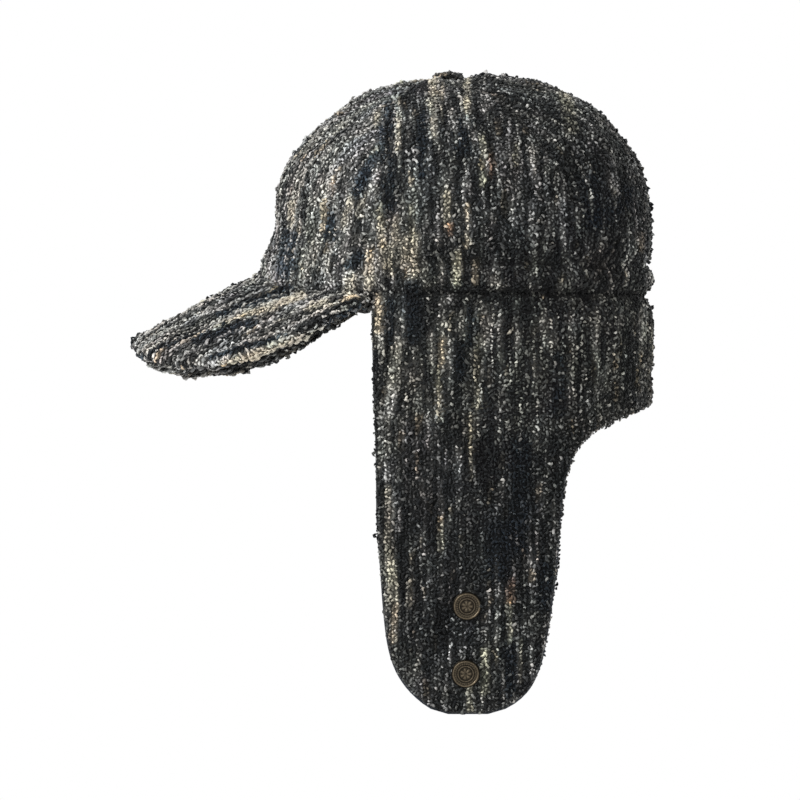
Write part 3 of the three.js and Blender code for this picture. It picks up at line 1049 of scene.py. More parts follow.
@dataclass(frozen=True)
class LoopedCloth:
    """Bouclé cloth: a dark ground, and curled loops of dyed yarn that stand on it in wales.

    Lengths are millimetres. A pair is the least and the greatest factor or value, jitter is
    a loop's own share of a cell across and along, and the few wild loops stand up higher.
    """

    wale_pitch: float = 1.94
    loop_pitch: float = 2.04
    jitter: tuple[float, float] = (0.13, 0.24)
    farthest: float = 0.62
    inset: float = 0.9
    sink: float = 0.15
    half_length: float = 1.28
    lengths: tuple[float, float] = (0.7, 1.15)
    radius: float = 0.59
    size_spread: float = 0.2
    sizes: tuple[float, float] = (0.65, 1.5)
    spacing_power: float = 0.7
    rise: float = 0.7
    rises: tuple[float, float] = (0.6, 1.3)
    bow: float = 0.8
    lean: float = 0.28
    fuzz: float = 0.06
    wild_share: float = 0.03
    wild_size: float = 1.25
    wild_rises: tuple[float, float] = (1.5, 2.6)
    loose: float = 0.64
    runs_calmed: float = 0.25
    loose_calmed: float = 0.5
    full_light: float = 2.0
    cool_until: tuple[float, float] = (-0.8, 0.4)
    lightest: float = 0.75
    shade_spread: float = 0.3
    tip_shade: float = 0.35
    # seam_shade is painted shade: the share of its colour that yarn keeps down in a seam's valley.
    seam_shade: float = 0.4
    seam_reach: tuple[float, float] = (0.1, 1.0)
    # The ground is the yarn's colour times this: a darker base yarn, and painted shade between the loops.
    ground_shade: float = 0.22
    ground_step: int = 4
    uv_margin: float = 0.12
    dye: SpaceDye = field(default_factory=SpaceDye)

    def seeds(self, patch: Patch, rng: np.random.Generator, spacing: float) -> Array:
        """Picks the grid points that loops stand on.

        The cloth is cut into cells, a wale wide and a loop long, every other wale half a
        cell further on. In each cell the grid point nearest to a random place is taken.

        Args:
            patch: The face.
            rng: The random numbers.
            spacing: A factor on the size of the cells.

        Returns:
            The numbers of the points.
        """
        most_courses = 100003
        wide, long = self.wale_pitch * spacing, self.loop_pitch * spacing
        a, s = patch.cells[0].ravel() / wide, patch.cells[1].ravel() / long
        wale = np.floor(a).astype(int)
        s = s + 0.5 * (wale % 2)
        course = np.floor(s).astype(int)
        cells, cell = np.unique(wale * most_courses + course, return_inverse=True)
        jitter = np.array(self.jitter)
        aim = rng.uniform(-jitter, jitter, (len(cells), 2))[cell]
        miss = np.hypot((a - wale - 0.5 - aim[:, 0]) * wide, (s - course - 0.5 - aim[:, 1]) * long)
        order = np.lexsort((miss, cell))
        first = order[np.unique(cell[order], return_index=True)[1]]
        return first[(miss[first] < self.farthest * wide) & ~patch.bare.ravel()[first]]

    def paint(self, patch: Patch, picked: Array, loose: Array) -> Array:
        """Colours of yarn at places on the cloth.

        A streak calms the runs under it, a light one calms what is added by chance too, dark
        yarn alone takes a cool tint, and yarn near a seam is darkened as painted shade.

        Args:
            patch: The face.
            picked: The numbers of the grid points to paint.
            loose: What is added to each tone by chance.

        Returns:
            Linear colours.
        """
        points = patch.points.reshape(-1, 3)[picked]
        across, along = patch.across.ravel()[picked], patch.along.ravel()[picked]
        wale = np.floor(across / self.wale_pitch).astype(int)
        shift, tint = self.dye.charted(points)
        chance_shift, chance_tint = self.dye.by_chance(points, across, along, patch.seed)
        shift, tint = shift + chance_shift, tint * chance_tint
        calm = 1 - self.runs_calmed * np.minimum(np.abs(shift), 1)
        tones = self.dye.tone(points, across, along, wale, patch.seed, patch.stripes) * calm
        even = 1 - self.loose_calmed * np.clip(shift / self.full_light, 0, 1)
        tones = tones + shift + loose * even + patch.level
        too_light = (tint[:, 2] > 1) * ramp(tones - patch.level, *self.cool_until)
        tint = mix(tint, 1.0, too_light[:, None])
        tint = tint * self.dye.flecks.tinting(self.dye.flecks.weight(across, along, patch.seed + 5))
        tint = tint * self.dye.cast(across, along, patch.seed)
        # Painted shade: loops and ground darken towards a seam, down in its valley.
        shade = mix(self.seam_shade, 1.0, ramp(patch.open_to.ravel()[picked], *self.seam_reach))
        return np.clip(self.dye.colours(tones) * tint, 0, self.lightest) * shade[:, None]

    def loops(self, name: str, patch: Patch, finish: Material, spacing: float = 1.0) -> Piece:
        """Makes the loops that stand on a face, as one piece.

        Args:
            name: The piece's name.
            patch: The outer face of the cloth.
            finish: The yarn's material.
            spacing: A factor on the distance between loops.

        Returns:
            The piece, with a cell of its UV map for each loop.
        """
        rng = np.random.default_rng(patch.seed)
        picked = self.seeds(patch, rng, spacing)
        count = len(picked)
        grids = (patch.points, patch.normals, patch.wales())
        points, up, run = (grid.reshape(-1, 3)[picked] for grid in grids)
        yaw = np.radians(rng.uniform(*patch.lie, count)) * rng.choice([-1, 1], count)
        lie = unit(run * np.cos(yaw)[:, None] + np.cross(up, run) * np.sin(yaw)[:, None])
        up = unit(up + self.lean * rng.standard_normal((count, 3)))
        lie = unit(lie - up * (lie * up).sum(1, keepdims=True))
        grow = np.clip(np.exp(self.size_spread * rng.standard_normal(count)), *self.sizes)
        grow = grow * spacing**self.spacing_power
        wild = rng.random(count) < self.wild_share
        grow = grow * np.where(wild, self.wild_size, 1.0)
        high, usual = rng.uniform(*self.wild_rises, count), rng.uniform(*self.rises, count)
        rise = self.rise * grow * np.where(wild, high, usual)
        bend = self.bow * grow * rng.uniform(-1, 1, count) * patch.curl
        long = self.half_length * grow * rng.uniform(*self.lengths, count) * patch.curl
        size = np.stack([long, self.radius * grow], axis=1)
        depth = self.inset * np.minimum(patch.open_to.ravel()[picked], 1) + self.sink
        base = points - up * depth[:, None]
        vertices = Curl.points(base, up, lie, size, rise, bend)
        vertices = vertices + rng.normal(0, self.fuzz, vertices.shape)
        loose = self.loose * rng.standard_normal(count)
        colours = self.paint(patch, picked, loose)
        shades = np.exp(self.shade_spread * rng.standard_normal((count, Curl.COUNT)))
        # Painted shade: a loop's tips, where it sinks into the ground, are darkened.
        shades[:, [0, -1]] *= self.tip_shade
        corners, sides, places = Curl.faces()
        corner = (corners + Curl.COUNT * np.arange(count)[:, None]).ravel()
        piece = put_mesh(name, vertices.reshape(-1, 3), corner, np.tile(sides, count), finish)
        put_colours(piece, (colours[:, None] * shades[..., None]).reshape(-1, 3))
        self.map_cells(piece, places, count)
        return piece

    def map_cells(self, piece: Piece, places: Array, count: int) -> None:
        """Gives each loop a square of the piece's UV map, in rows of squares.

        Args:
            piece: The loops.
            places: Shares round and along a loop, for its corners.
            count: How many loops there are.
        """
        row = int(np.ceil(np.sqrt(count)))
        number = np.arange(count)
        corner = np.stack([number % row, number // row], axis=1)[:, None]
        spread = (corner + mix(self.uv_margin, 1 - self.uv_margin, places)) / row
        layer = piece.data.uv_layers.new(name="OFBake")
        layer.data.foreach_set("uv", spread.astype(np.float32).ravel())

    def ground(self, name: str, patch: Patch, inner: Array, finish: Material) -> Piece:
        """Makes the cloth's ground, a wall from just under the loops to the inner face.

        Args:
            name: The piece's name.
            patch: The outer face of the cloth.
            inner: The inner face on the same grid.
            finish: The ground's material.

        Returns:
            The piece.
        """
        step = self.ground_step
        depth = self.inset * np.minimum(patch.open_to, 1)
        outer = (patch.points - patch.normals * depth[..., None])[::step, ::step]
        piece = put_wall(name, outer, inner[::step, ::step], finish)
        taken = np.arange(patch.across.size).reshape(patch.across.shape)[::step, ::step].ravel()
        # Darker base yarn and painted shade between the loops, in one factor.
        colours = self.paint(patch, taken, np.zeros(len(taken))) * self.ground_shade
        put_colours(piece, np.concatenate([colours, colours]))
        return piece


@dataclass(frozen=True)
class Wardrobe:
    """The cloth and the finishes that all sub-assemblies use."""

    cloth: LoopedCloth
    sewing: Sewing
    yarn: Material
    ground: Material
    satin: Material
    brass: Material

    @classmethod
    def stock(cls) -> "Wardrobe":
        """Makes every material once.

        Returns:
            The cloth and the finishes.
        """
        return cls(
            cloth=LoopedCloth(),
            sewing=Sewing(),
            yarn=YarnFinish("looped_yarn").material(),
            ground=YarnFinish("cloth_ground", fibre=1.2, depth=0.7, darkest=0.1, lightest=1.9).material(),
            satin=SatinFinish("satin").material(),
            brass=BrassFinish("antiqued_brass").material(),
        )

    def dress(self, name: str, patch: Patch, inner: Array) -> list[Piece]:
        """Makes a cloth piece: the ground that replaces its node, and the loops on it.

        Args:
            name: The node.
            patch: The outer face of the cloth.
            inner: The inner face on the same grid.

        Returns:
            The ground and the loops.
        """
        ground = self.cloth.ground(name + "_ground", patch, inner, self.ground)
        loops = self.cloth.loops(name + "_loops", patch, self.yarn)
        enrol(ground, Slot.CLOTH, name)
        enrol(loops, Slot.CLOTH)
        return [ground, loops]


def enrol(piece: Piece, slot: Slot, *nodes: str) -> None:
    """Lets a piece ride on the hat, hides the nodes that it stands for, and logs it.

    Args:
        piece: The piece.
        slot: Its material slot; not used.
        nodes: The part's nodes that it replaces.
    """
    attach(piece, BODY)
    if nodes:
        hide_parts(*nodes)
    log.info("%s: %d faces", piece.name, len(piece.data.polygons))


# The hat's own shapes

CLOTH_THICK = 3.0
LINING_THICK = 1.0
LINING_GAP = 0.6
LINING_SHOWS = 0.7
SEAM_HALF_GAP = 0.04
SEAM_VALLEY = 0.8
SNAP_PLACES = {"upper": (8.3, 169.2), "lower": (7.5, 205.7)}  # X, and the drop under the rim
LEVEL = (1, 1, 0)  # times a point, its part in the rim's plane
SEED_STEP = 10  # a panel of cloth uses up to this many seeds


@dataclass
class Crown:
    """Six panels of a dome whose rim rolls over the neck flap.

    A row of rings is a level of the dome: how far it reaches to the front, the side and the
    back and how high it is there, its middle's X, how much its side is lifted, and the
    angles from the front at which the two seams of the side panel cross it.
    """

    rings: Table = field(
        default_factory=lambda: Table(
            "front_x front_z side_y side_z back_x back_z mid lift front_seam back_seam",
            (
                (-105.5, 0, 86, 0, 105, -1, 0, 10, 70, 131.6),
                (-103.2, 10.5, 87.5, 11, 106.5, 10, 0, 7, 69.5, 130.5),
                (-99.8, 23, 89.5, 23, 107.2, 22.5, 0, 4, 69, 129.5),
                (-96.3, 34.5, 90.2, 35, 107.6, 34, 0, 1.5, 68.5, 128.3),
                (-95.6, 46.5, 90, 47, 106.6, 46, 0, 0, 68, 127.4),
                (-94.3, 58.5, 88.2, 59, 104.8, 58, 0, 0, 67, 126),
                (-89.5, 71, 84, 71, 100.8, 70.3, -0.5, 0, 65.5, 123.5),
                (-80, 82, 79, 82, 93.5, 81.5, -1, 0, 63.5, 120.5),
                (-70, 92.3, 69.5, 92.3, 84, 93, -1.5, 0, 60.5, 116.5),
                (-57.5, 102, 56.5, 102, 72, 103.3, -2, 0, 57.5, 112),
                (-42.5, 109.3, 41.5, 109.3, 57, 110.4, -2.5, 0, 55.5, 107),
                (-27.5, 113.4, 25.5, 113.6, 37, 116.2, -3, 0, 54.5, 104),
                (-14, 114.9, 11, 115.3, 16, 117.8, -3, 0, 54, 103),
                (-6.5, 115.2, 3.5, 115.4, 0.5, 115.8, -3, 0, 54, 103),
            ),
        )
    )
    lift_spread: float = 21.0
    roll_height: float = 6.0
    roll_spread: float = 4.5
    roll_out: float = 1.4
    groove_height: float = 15.5
    groove_spread: float = 3.6
    groove_in: float = 3.0
    fold_angles: tuple[float, float] = (66.0, 88.0)
    side_middle: float = 96.0
    seams_until: float = 11.0
    rim_valley: float = 1.4
    puff: float = 1.6
    puff_grows: tuple[float, float] = (0.0, 1.5)
    puff_fades: tuple[float, float] = (10.0, 13.0)
    level_until: float = 0.5
    angle_step: float = 0.5
    ring_step: float = 0.05
    centre: tuple[float, float, float] = (0.0, 0.0, 20.0)
    levels: dict[str, float] = field(default_factory=lambda: {"front": 1.48, "side": 0.47, "back": 0.05})
    curls: dict[str, float] = field(default_factory=lambda: {"front": 1.15, "side": 1.0, "back": 1.0})
    rows: int = 241
    columns: int = 181
    first_seed: int = 100

    def dome(self, degrees: Array, ring: Array, side: Side) -> Array:
        """A point of the dome.

        X is the mean of the middle and the front's or back's reach, weighted by |cos|, Y is
        the side's reach times sin, and Z goes from the side's height to the end's by cos
        squared. The rolled rim is a bell out and the groove over it a bell in.

        Args:
            degrees: The angle from the front centre.
            ring: The level, from 0 at the rim.
            side: The wearer's side.

        Returns:
            Points.
        """
        turn = np.radians(degrees)
        cos, sin = np.cos(turn), np.sin(turn)
        read = self.rings.read
        end_x = np.where(cos > 0, read("front_x", ring), read("back_x", ring))
        end_z = np.where(cos > 0, read("front_z", ring), read("back_z", ring))
        lift = read("lift", ring) * swell(degrees, self.lift_spread)
        z = mix(read("side_z", ring), end_z, cos * cos) + lift
        bead = self.roll_out * swell(z - self.roll_height, self.roll_spread)
        dip = self.groove_in * swell(z - self.groove_height, self.groove_spread)
        fold = ramp(degrees, *self.fold_angles) * (bead - dip)
        x = mix(read("mid", ring), end_x, np.abs(cos)) - fold * cos
        return stack(x, side.value * (read("side_y", ring) + fold) * sin, z)

    def point(self, degrees: Array, ring: Array, side: Side, puff: Array, depth: Array) -> Array:
        """The dome puffed out between a panel's seams, and set in by a depth.

        It moves along the dome's normal, which is turned level at the rim.

        Args:
            degrees: The angle from the front centre.
            ring: The level, from 0 at the rim.
            side: The wearer's side.
            puff: How much it puffs, 1 midway between seams.
            depth: How far it is set in.

        Returns:
            Points.
        """
        base = self.dome(degrees, ring, side)
        outward = base.copy()
        outward[..., 2] = np.maximum(base[..., 2], 1)
        surface = partial(self.dome, side=side)
        turn, step = self.angle_step, self.ring_step
        degrees = np.clip(degrees, 2 * turn, 180 - 2 * turn)
        normal = facing(surface, degrees, np.maximum(ring, step), turn, step, outward)
        normal[..., 2] *= ramp(ring, 0, self.level_until)
        share = ramp(ring, *self.puff_grows) * (1 - ramp(ring, *self.puff_fades))
        return base + unit(normal) * (puff * share * self.puff - depth)[..., None]

    def panel(self, place: str, side: Side, kit: Wardrobe, seed: int) -> None:
        """Builds one panel.

        Args:
            place: front, side or back.
            side: The wearer's side.
            kit: Cloth and finishes.
            seed: The panel's pattern.
        """
        levels = np.linspace(0, self.rings.keys[-1], self.rows)
        share, ring = np.meshgrid(np.linspace(0, 1, self.columns), levels)
        front, back = self.rings.read("front_seam", ring), self.rings.read("back_seam", ring)
        zero, half_turn = np.zeros_like(ring), np.full_like(ring, 180.0)
        start, end = {"front": (zero, front), "side": (front, back), "back": (back, half_turn)}[place]
        gap = np.degrees(SEAM_HALF_GAP / self.rings.read("side_y", ring))
        degrees = mix(start + gap, end - gap, share)
        puff = np.sin(np.pi * share)
        points = self.point(degrees, ring, side, puff, np.zeros_like(ring))
        inner = self.point(degrees, ring, side, puff, np.full_like(ring, CLOTH_THICK))
        reference = {"front": 0.0, "side": self.side_middle, "back": 180.0}[place]
        across = walk_from(points, np.abs(degrees - reference).argmin(axis=1))
        along = arc_length(points, 0)
        patch = Patch(points, across, along, points - self.centre, seed, self.levels[place])
        patch.curl = self.curls[place]
        sewn = ring[:, 0] < self.seams_until
        seams = [(points[sewn, 0], SEAM_VALLEY), (points[sewn, -1], SEAM_VALLEY)]
        seams.append((points[0], self.rim_valley))
        kit.sewing.settle(patch, seams, [])
        name = f"crown_{place}_{side.word}"
        flat, area = cut_size(name, points, along[-1, self.columns // 2])
        ground, loops = kit.dress(name, patch, inner)

    def build(self, kit: Wardrobe) -> None:
        """Builds all six panels.

        Args:
            kit: Cloth and finishes.
        """
        seed = self.first_seed
        for side in Side:
            for place in ("front", "side", "back"):
                self.panel(place, side, kit, seed)
                seed += SEED_STEP


@dataclass(frozen=True)
class SatinHang:
    """How the lining lies: a thin wall with a rounded hem, puckered beside it.

    Each size is a height, or a distance from the edge, in millimetres.
    """

    thick: float = 0.42
    thinnest: float = 0.12
    round_until: float = 0.8
    hem: float = 0.22
    hem_place: float = 1.7
    hem_spread: float = 1.1
    pucker: float = 0.3
    pucker_length: float = 7.0
    puckers: tuple[float, float] = (1.5, 4.0)
    wave: float = 0.25
    wave_length: float = 40.0
    hollow: float = 0.3
    sways: tuple[float, float] = (0.5, 4.0)

    def half(self, away: Array) -> Array:
        """Half the thickness: a quarter ellipse from the edge, with a bell for the hem.

        Args:
            away: Distances from the edge.

        Returns:
            Half thicknesses.
        """
        rounding = quarter_circle(1 - np.clip(away / self.round_until, 0, 1))
        hem = self.hem * swell(away - self.hem_place, self.hem_spread)
        return np.maximum(self.thick * rounding + hem, self.thinnest)

    def sway(self, points: Array, away: Array) -> Array:
        """How far the inside moves in: puckers that fade from the edge, and broad waves.

        Args:
            points: Places on the lining.
            away: Their distances from the edge.

        Returns:
            Distances, under zero where it moves in.
        """
        pucker = self.pucker * wave_noise(points, self.pucker_length, seed=11)
        pucker = pucker * np.exp(-away / self.pucker_length) * ramp(away, *self.puckers)
        wave = self.wave * wave_noise(points, self.wave_length, seed=12)
        return (pucker + wave - self.hollow) * ramp(away, *self.sways)


@dataclass
class Flap:
    """The neck and ear flap, in two halves sewn at the centre of the back.

    A row of levels is a drop under the rim: how far the wall reaches to the back and the
    side there, and the X of its front and rear edges. A row of stretches is a stretch of
    drops and the grid's rows in it.
    """

    front_reach: float = 105.0
    whole_until: float = 60.0
    pressed: float = 6.0
    level: float = 0.46
    top_valley: float = 2.4
    top_gap: float = 0.3
    back_gap: float = 1.0
    gap_fades: float = 6.0
    tip: tuple[float, float] = (200.0, 227.0)
    levels: Table = field(
        default_factory=lambda: Table(
            "drop back_x side_y front_edge rear_edge",
            (
                (0, 105, 86, -43.5, 105),
                (7, 107.6, 87.2, -43.8, 107.6),
                (15, 108.8, 88.2, -43.8, 108.8),
                (30, 108.8, 89, -43.4, 108.8),
                (46, 108, 89, -43, 108),
                (60, 107.2, 88.6, -42.5, 107.2),
                (64, 107, 88.4, -42.3, 101.5),
                (69, 106.8, 88.1, -42.1, 91),
                (75, 106.6, 87.7, -41.9, 79),
                (82, 106.3, 87.2, -41.7, 71),
                (92, 106, 86.5, -41.5, 65),
                (105, 105.5, 85.4, -41.3, 61.5),
                (125, 105, 83.3, -41, 59),
                (150, 104.5, 80.2, -39, 57),
                (175, 104, 76.6, -37, 53.5),
                (192, 103.5, 74, -34.5, 50.5),
                (204, 103.2, 72, -30.5, 47.5),
                (213, 103, 70.6, -24.5, 43),
                (220, 102.8, 69.5, -17, 36),
                (225, 102.7, 68.7, -9, 27),
                (227, 102.7, 68.4, -1, 19),
            ),
            key="drop",
        )
    )
    stretches: tuple[tuple[float, float, int], ...] = ((0, 54, 88), (54, 100, 100), (100, 227, 185))
    columns: int = 273
    lining_step: int = 4
    first_seed: int = 200
    hang: SatinHang = SatinHang()

    def point(self, x: Array, drop: Array, side: Side, depth: Array) -> Array:
        """A point of the hanging wall: an ellipse at each level, set in along its normal.

        Args:
            x: How far back it is.
            drop: How far under the rim it is.
            side: The wearer's side.
            depth: How far it is set in.

        Returns:
            Points.
        """
        reach = np.where(x < 0, self.front_reach, self.levels.read("back_x", drop))
        cos = np.clip(x / reach, -1, 1)
        sin = np.sqrt(1 - cos * cos)
        width = self.levels.read("side_y", drop)
        normal = unit(stack(cos / reach, side.value * sin / width, np.zeros_like(cos)))
        return stack(x, side.value * width * sin, -drop) - normal * np.asarray(depth)[..., None]

    def grid(self, side: Side, depth: float, more: float) -> Array:
        """The wall's face on a grid from the front edge to the rear one and down.

        Its top hangs clear of the crown's rim, a little more towards the back.

        Args:
            side: The wearer's side.
            depth: How far the face is set in from the cloth's outer face.
            more: How far it stands past the cloth's edges.

        Returns:
            Points, rows by columns by 3.
        """
        *others, lowest = self.stretches
        drops = [np.linspace(*stretch, endpoint=False) for stretch in others]
        drops = np.concatenate([*drops, np.linspace(*lowest)])
        share, drop = np.meshgrid(np.linspace(0, 1, self.columns), drops)
        read = self.levels.read
        past = more / read("side_y", drop)
        front = np.arccos(read("front_edge", drop) / self.front_reach) + past
        reach = read("back_x", drop)
        seam = np.arcsin(SEAM_HALF_GAP / read("side_y", np.zeros(1)))[0]
        rear = np.arccos(np.clip(read("rear_edge", drop) / reach, -1, 1))
        rear = np.where(drop > self.whole_until, np.maximum(rear - past, seam), seam)
        angle = mix(front, rear, share)
        x = np.cos(angle) * np.where(np.cos(angle) < 0, self.front_reach, reach)
        points = self.point(x, drop, side, np.full_like(x, depth))
        gap = self.top_gap + self.back_gap * np.maximum(np.cos(angle[0]), 0) ** 2
        points[..., 2] -= gap * swell(drop, self.gap_fades)
        points[..., 2] -= more * ramp(drop, *self.tip)
        return points

    def half(self, side: Side, kit: Wardrobe, seed: int) -> None:
        """Builds the cloth and the lining of one half.

        Args:
            side: The wearer's side.
            kit: Cloth and finishes.
            seed: The half's pattern.
        """
        points = self.grid(side, 0, 0)
        inner = self.grid(side, CLOTH_THICK, 0)
        flat, area = cut_size(f"flap_{side.word}", points, np.ptp(points[..., 2]))
        sewn_rows = int((-points[:, 0, 2] < self.whole_until).sum())
        across = walk_from(points, np.abs(points[..., 0]).argmin(axis=1))
        patch = Patch(points, across, -points[..., 2], points * LEVEL, seed, self.level)
        seams = [(points[0], self.top_valley), (points[:sewn_rows, -1], SEAM_VALLEY)]
        kit.sewing.settle(patch, seams, [points[:, 0], points[sewn_rows:, -1], points[-1]])
        for x, drop in SNAP_PLACES.values():
            patch.bare |= np.hypot(points[..., 0] - x, -points[..., 2] - drop) < self.pressed
        name = f"flap_{side.word}"
        ground, loops = kit.dress(name, patch, inner)
        lining = self.lining(side, kit)
        satin = self.grid(side, CLOTH_THICK + LINING_GAP, LINING_SHOWS)
        flat, area = cut_size(lining.name, satin, np.ptp(satin[..., 2]))

    def lining(self, side: Side, kit: Wardrobe) -> Piece:
        """Makes the satin, a thin wall that lies as its own class says.

        Args:
            side: The wearer's side.
            kit: Cloth and finishes.

        Returns:
            The piece.
        """
        middle = CLOTH_THICK + LINING_GAP + LINING_THICK / 2
        points = self.grid(side, middle, LINING_SHOWS)[:: self.lining_step, :: self.lining_step]
        patch = Patch(points, arc_length(points, 1), -points[..., 2], points * LEVEL, 0)
        away = distance_to(points, np.concatenate([points[:, 0], points[-1], points[:, -1]]))
        half, sway = self.hang.half(away), self.hang.sway(points, away)
        inside = points - patch.normals * (half - np.minimum(sway, 0))[..., None]
        outside = points + patch.normals * half[..., None]
        name = f"flap_lining_{side.word}"
        piece = put_wall(name + "_satin", outside, inside, kit.satin)
        enrol(piece, Slot.LINING, name)
        return piece

    def build(self, kit: Wardrobe) -> None:
        """Builds both halves."""
        for number, side in enumerate(Side):
            self.half(side, kit, self.first_seed + SEED_STEP * number)


@dataclass
class Visor:
    """The curved visor: two faces of looped cloth over a stiff board.

    A row of the edge is a share across, from the middle to an end, and the point there.
    """

    crown: Crown
    edge: Table = field(
        default_factory=lambda: Table(
            "across x y z",
            (
                (0, -173.6, 0, -28),
                (0.2, -171.6, 22, -31.5),
                (0.4, -163.5, 43, -36.5),
                (0.6, -148, 60.5, -40.3),
                (0.75, -125, 73, -39),
                (0.87, -96, 80.5, -30.6),
                (0.95, -69, 82, -17.0),
                (1, -50, 80, -8.5),
            ),
        )
    )
    thick: float = 8.0
    root_angle: float = 65.2
    ends_from: float = 0.985
    drop: float = 0.7
    bulge: float = 1.5
    bulge_power: float = 0.6
    right_sag: float = 4.6
    sag_grows: tuple[float, float] = (0.0, 0.35)
    sag_fades: tuple[float, float] = (0.83, 0.91)
    rounds_from: float = 0.88
    thinnest: float = 0.3
    root_share: float = 0.045
    root_rise: float = 0.8
    level_until: float = 0.3
    step: float = 0.01
    arch: float = 0.14
    arch_width: float = 70.0
    slope: float = 1.14
    wave: float = 0.5
    wave_length: float = 24.0
    open_along: float = 12.0
    spacings: tuple[float, float] = (1.0, 1.28)
    columns: int = 421
    flat_rows: int = 147
    turned_rows: int = 22
    turned_share: float = 0.96
    turned_place: float = 1000.0
    first_seed: int = 302
    level: float = 1.3
    curl: float = 1.2
    stripes: float = 1.8
    lie: tuple[float, float] = (0.0, 50.0)

    def edge_point(self, across: Array) -> Array:
        """The outer edge, which sags a little on the right between its middle and its end.

        Args:
            across: Shares across, from -1 on the right to 1 on the left.

        Returns:
            Points.
        """
        share = np.abs(across)
        keys = self.edge.columns["across"]
        place = np.interp(share, keys, np.arange(len(keys)))
        side = np.where(across < 0, 1.0, -1.0)
        sag = self.right_sag * ramp(share, *self.sag_grows) * (1 - ramp(share, *self.sag_fades))
        z = self.edge.read("z", place) - np.where(across < 0, sag, 0)
        return stack(self.edge.read("x", place), side * np.abs(self.edge.read("y", place)), z)

    def root_point(self, across: Array, depth: Array) -> Array:
        """The crown's rim, set in by a depth.

        Args:
            across: Shares across.
            depth: How far it is set in.

        Returns:
            Points.
        """
        degrees = np.abs(across) * self.root_angle
        ring = np.zeros_like(degrees)
        point = self.crown.point(degrees, ring, Side.RIGHT, ring, depth)
        point[..., 1] *= np.where(across < 0, 1, -1)
        return point

    def middle(self, across: Array, out: Array) -> Array:
        """The middle surface: level under the rim, then out to the edge with a bulge.

        The bulge is the sine of half a turn times a power of the share of the way out.

        Args:
            across: Shares across.
            out: Shares from root to edge.

        Returns:
            Points.
        """
        across, out = np.broadcast_arrays(np.asarray(across, float), np.asarray(out, float))
        rim = self.root_point(across, np.zeros_like(across))
        rim[..., 2] -= self.drop + self.thick / 2
        under = self.root_point(across, CLOTH_THICK * (1 - np.clip(out / self.root_share, 0, 1)))
        under[..., 2] = rim[..., 2]
        share = np.clip((out - self.root_share) / (1 - self.root_share), 0, 1)
        point = mix(rim, self.edge_point(across), share[..., None])
        point[..., 2] += self.bulge * np.sin(np.pi * share**self.bulge_power)
        return np.where((out <= self.root_share)[..., None], under, point)

    def half_thickness(self, across: Array, out: Array, up: int) -> Array:
        """Half the thickness, which falls as a quarter circle round the edge and at the ends.

        Args:
            across: Shares across.
            out: Shares from root to edge.
            up: 1 for the upper face, which is thicker at the root, or -1 for the lower one.

        Returns:
            The half thickness.
        """
        rounding = np.maximum(0, (out - self.rounds_from) / (1 - self.rounds_from))
        ends = np.clip((np.abs(across) - self.ends_from) / (1 - self.ends_from), 0, 1)
        half = self.thick / 2 * quarter_circle(rounding) * quarter_circle(ends)
        half = np.maximum(half, self.thinnest)
        if up > 0:
            half = half + self.root_rise * (1 - ramp(out, self.root_share, 2 * self.root_share))
        return half

    def face(self, up: int) -> Array:
        """A face on a grid from root to edge: the middle surface moved by half the thickness.

        It moves straight up or down at the root, and along the surface's normal further out.

        Args:
            up: 1 for the upper face, -1 for the lower one.

        Returns:
            Points, rows by columns by 3.
        """
        turn = np.linspace(0, self.turned_share * np.pi / 2, self.turned_rows)
        flat = np.linspace(0, self.rounds_from, self.flat_rows, endpoint=False)
        rows = np.concatenate([flat, self.rounds_from + (1 - self.rounds_from) * np.sin(turn)])
        across, out = np.meshgrid(np.linspace(-1, 1, self.columns), rows)
        upright, step = np.array([0.0, 0.0, 1.0]), self.step
        a = np.clip(across, 2 * step - 1, 1 - 2 * step)
        b = np.clip(out, self.root_share + 2 * step, 1 - 2 * step)
        normal = facing(self.middle, a, b, step, step, upright)
        tilt = ramp(out, self.root_share, self.level_until)[..., None]
        normal = unit(mix(upright, normal, tilt))
        half = self.half_thickness(across, out, up)
        return self.middle(across, out) + normal * (up * half)[..., None]

    def grain(self, points: Array) -> tuple[Array, Array]:
        """The wales run from root to edge, level with the centre line.

        Across them it counts the arch's own length, which the slope of the sides adds to.
        """
        y = points[..., 1]
        return y * (1 + self.arch * (y / self.arch_width) ** 2), points[..., 0] * self.slope

    def spread(self, patch: Patch) -> None:
        """Gives the turned edge coordinates of its own to spread loops over.

        They are the length along the edge, started far from all wales, and the sum of the
        steps down times the sine of the angle between the two.

        Args:
            patch: The face.
        """
        down, right = np.diff(patch.points, axis=0), np.gradient(patch.points, axis=1)
        steps = np.linalg.norm(np.cross(down, unit(right[1:])), axis=-1)
        deep = np.concatenate([np.zeros((1, self.columns)), np.cumsum(steps, axis=0)])
        deep = deep - deep[self.flat_rows]
        turned = np.arange(len(deep))[:, None] >= self.flat_rows
        far = self.turned_place + arc_length(patch.points, 1)
        patch.cells = (np.where(turned, far, patch.across), np.where(turned, deep, patch.along))

    def build(self, kit: Wardrobe) -> None:
        """Builds the ground of both faces as one padded piece, and the loops of each.

        Args:
            kit: Cloth and finishes.
        """
        patches = []
        for number, up in enumerate((1, -1)):
            points = self.face(up)
            across, along = self.grain(points)
            seed = self.first_seed + number
            patch = Patch(points, across, along, np.array([0, 0, up]), seed, self.level)
            patch.push(self.wave * wave_noise(points, self.wave_length, seed=5))
            patch.curl, patch.stripes, patch.lie = self.curl, self.stripes, self.lie
            self.spread(patch)
            # The root is a seam: its loops sink there and take the seam's painted shade.
            opening = np.linspace(0, self.open_along, len(points))
            patch.open_to = np.repeat(opening[:, None], self.columns, axis=1)
            patches.append(patch)
        above, below = patches
        under = below.points - below.normals * kit.cloth.inset
        ground = kit.cloth.ground("visor_ground", above, under, kit.ground)
        enrol(ground, Slot.CLOTH, "visor")
        for word, patch, spacing in zip(("upper", "lower"), patches, self.spacings):
            piece = kit.cloth.loops(f"visor_loops_{word}", patch, kit.yarn, spacing)
            enrol(piece, Slot.CLOTH)


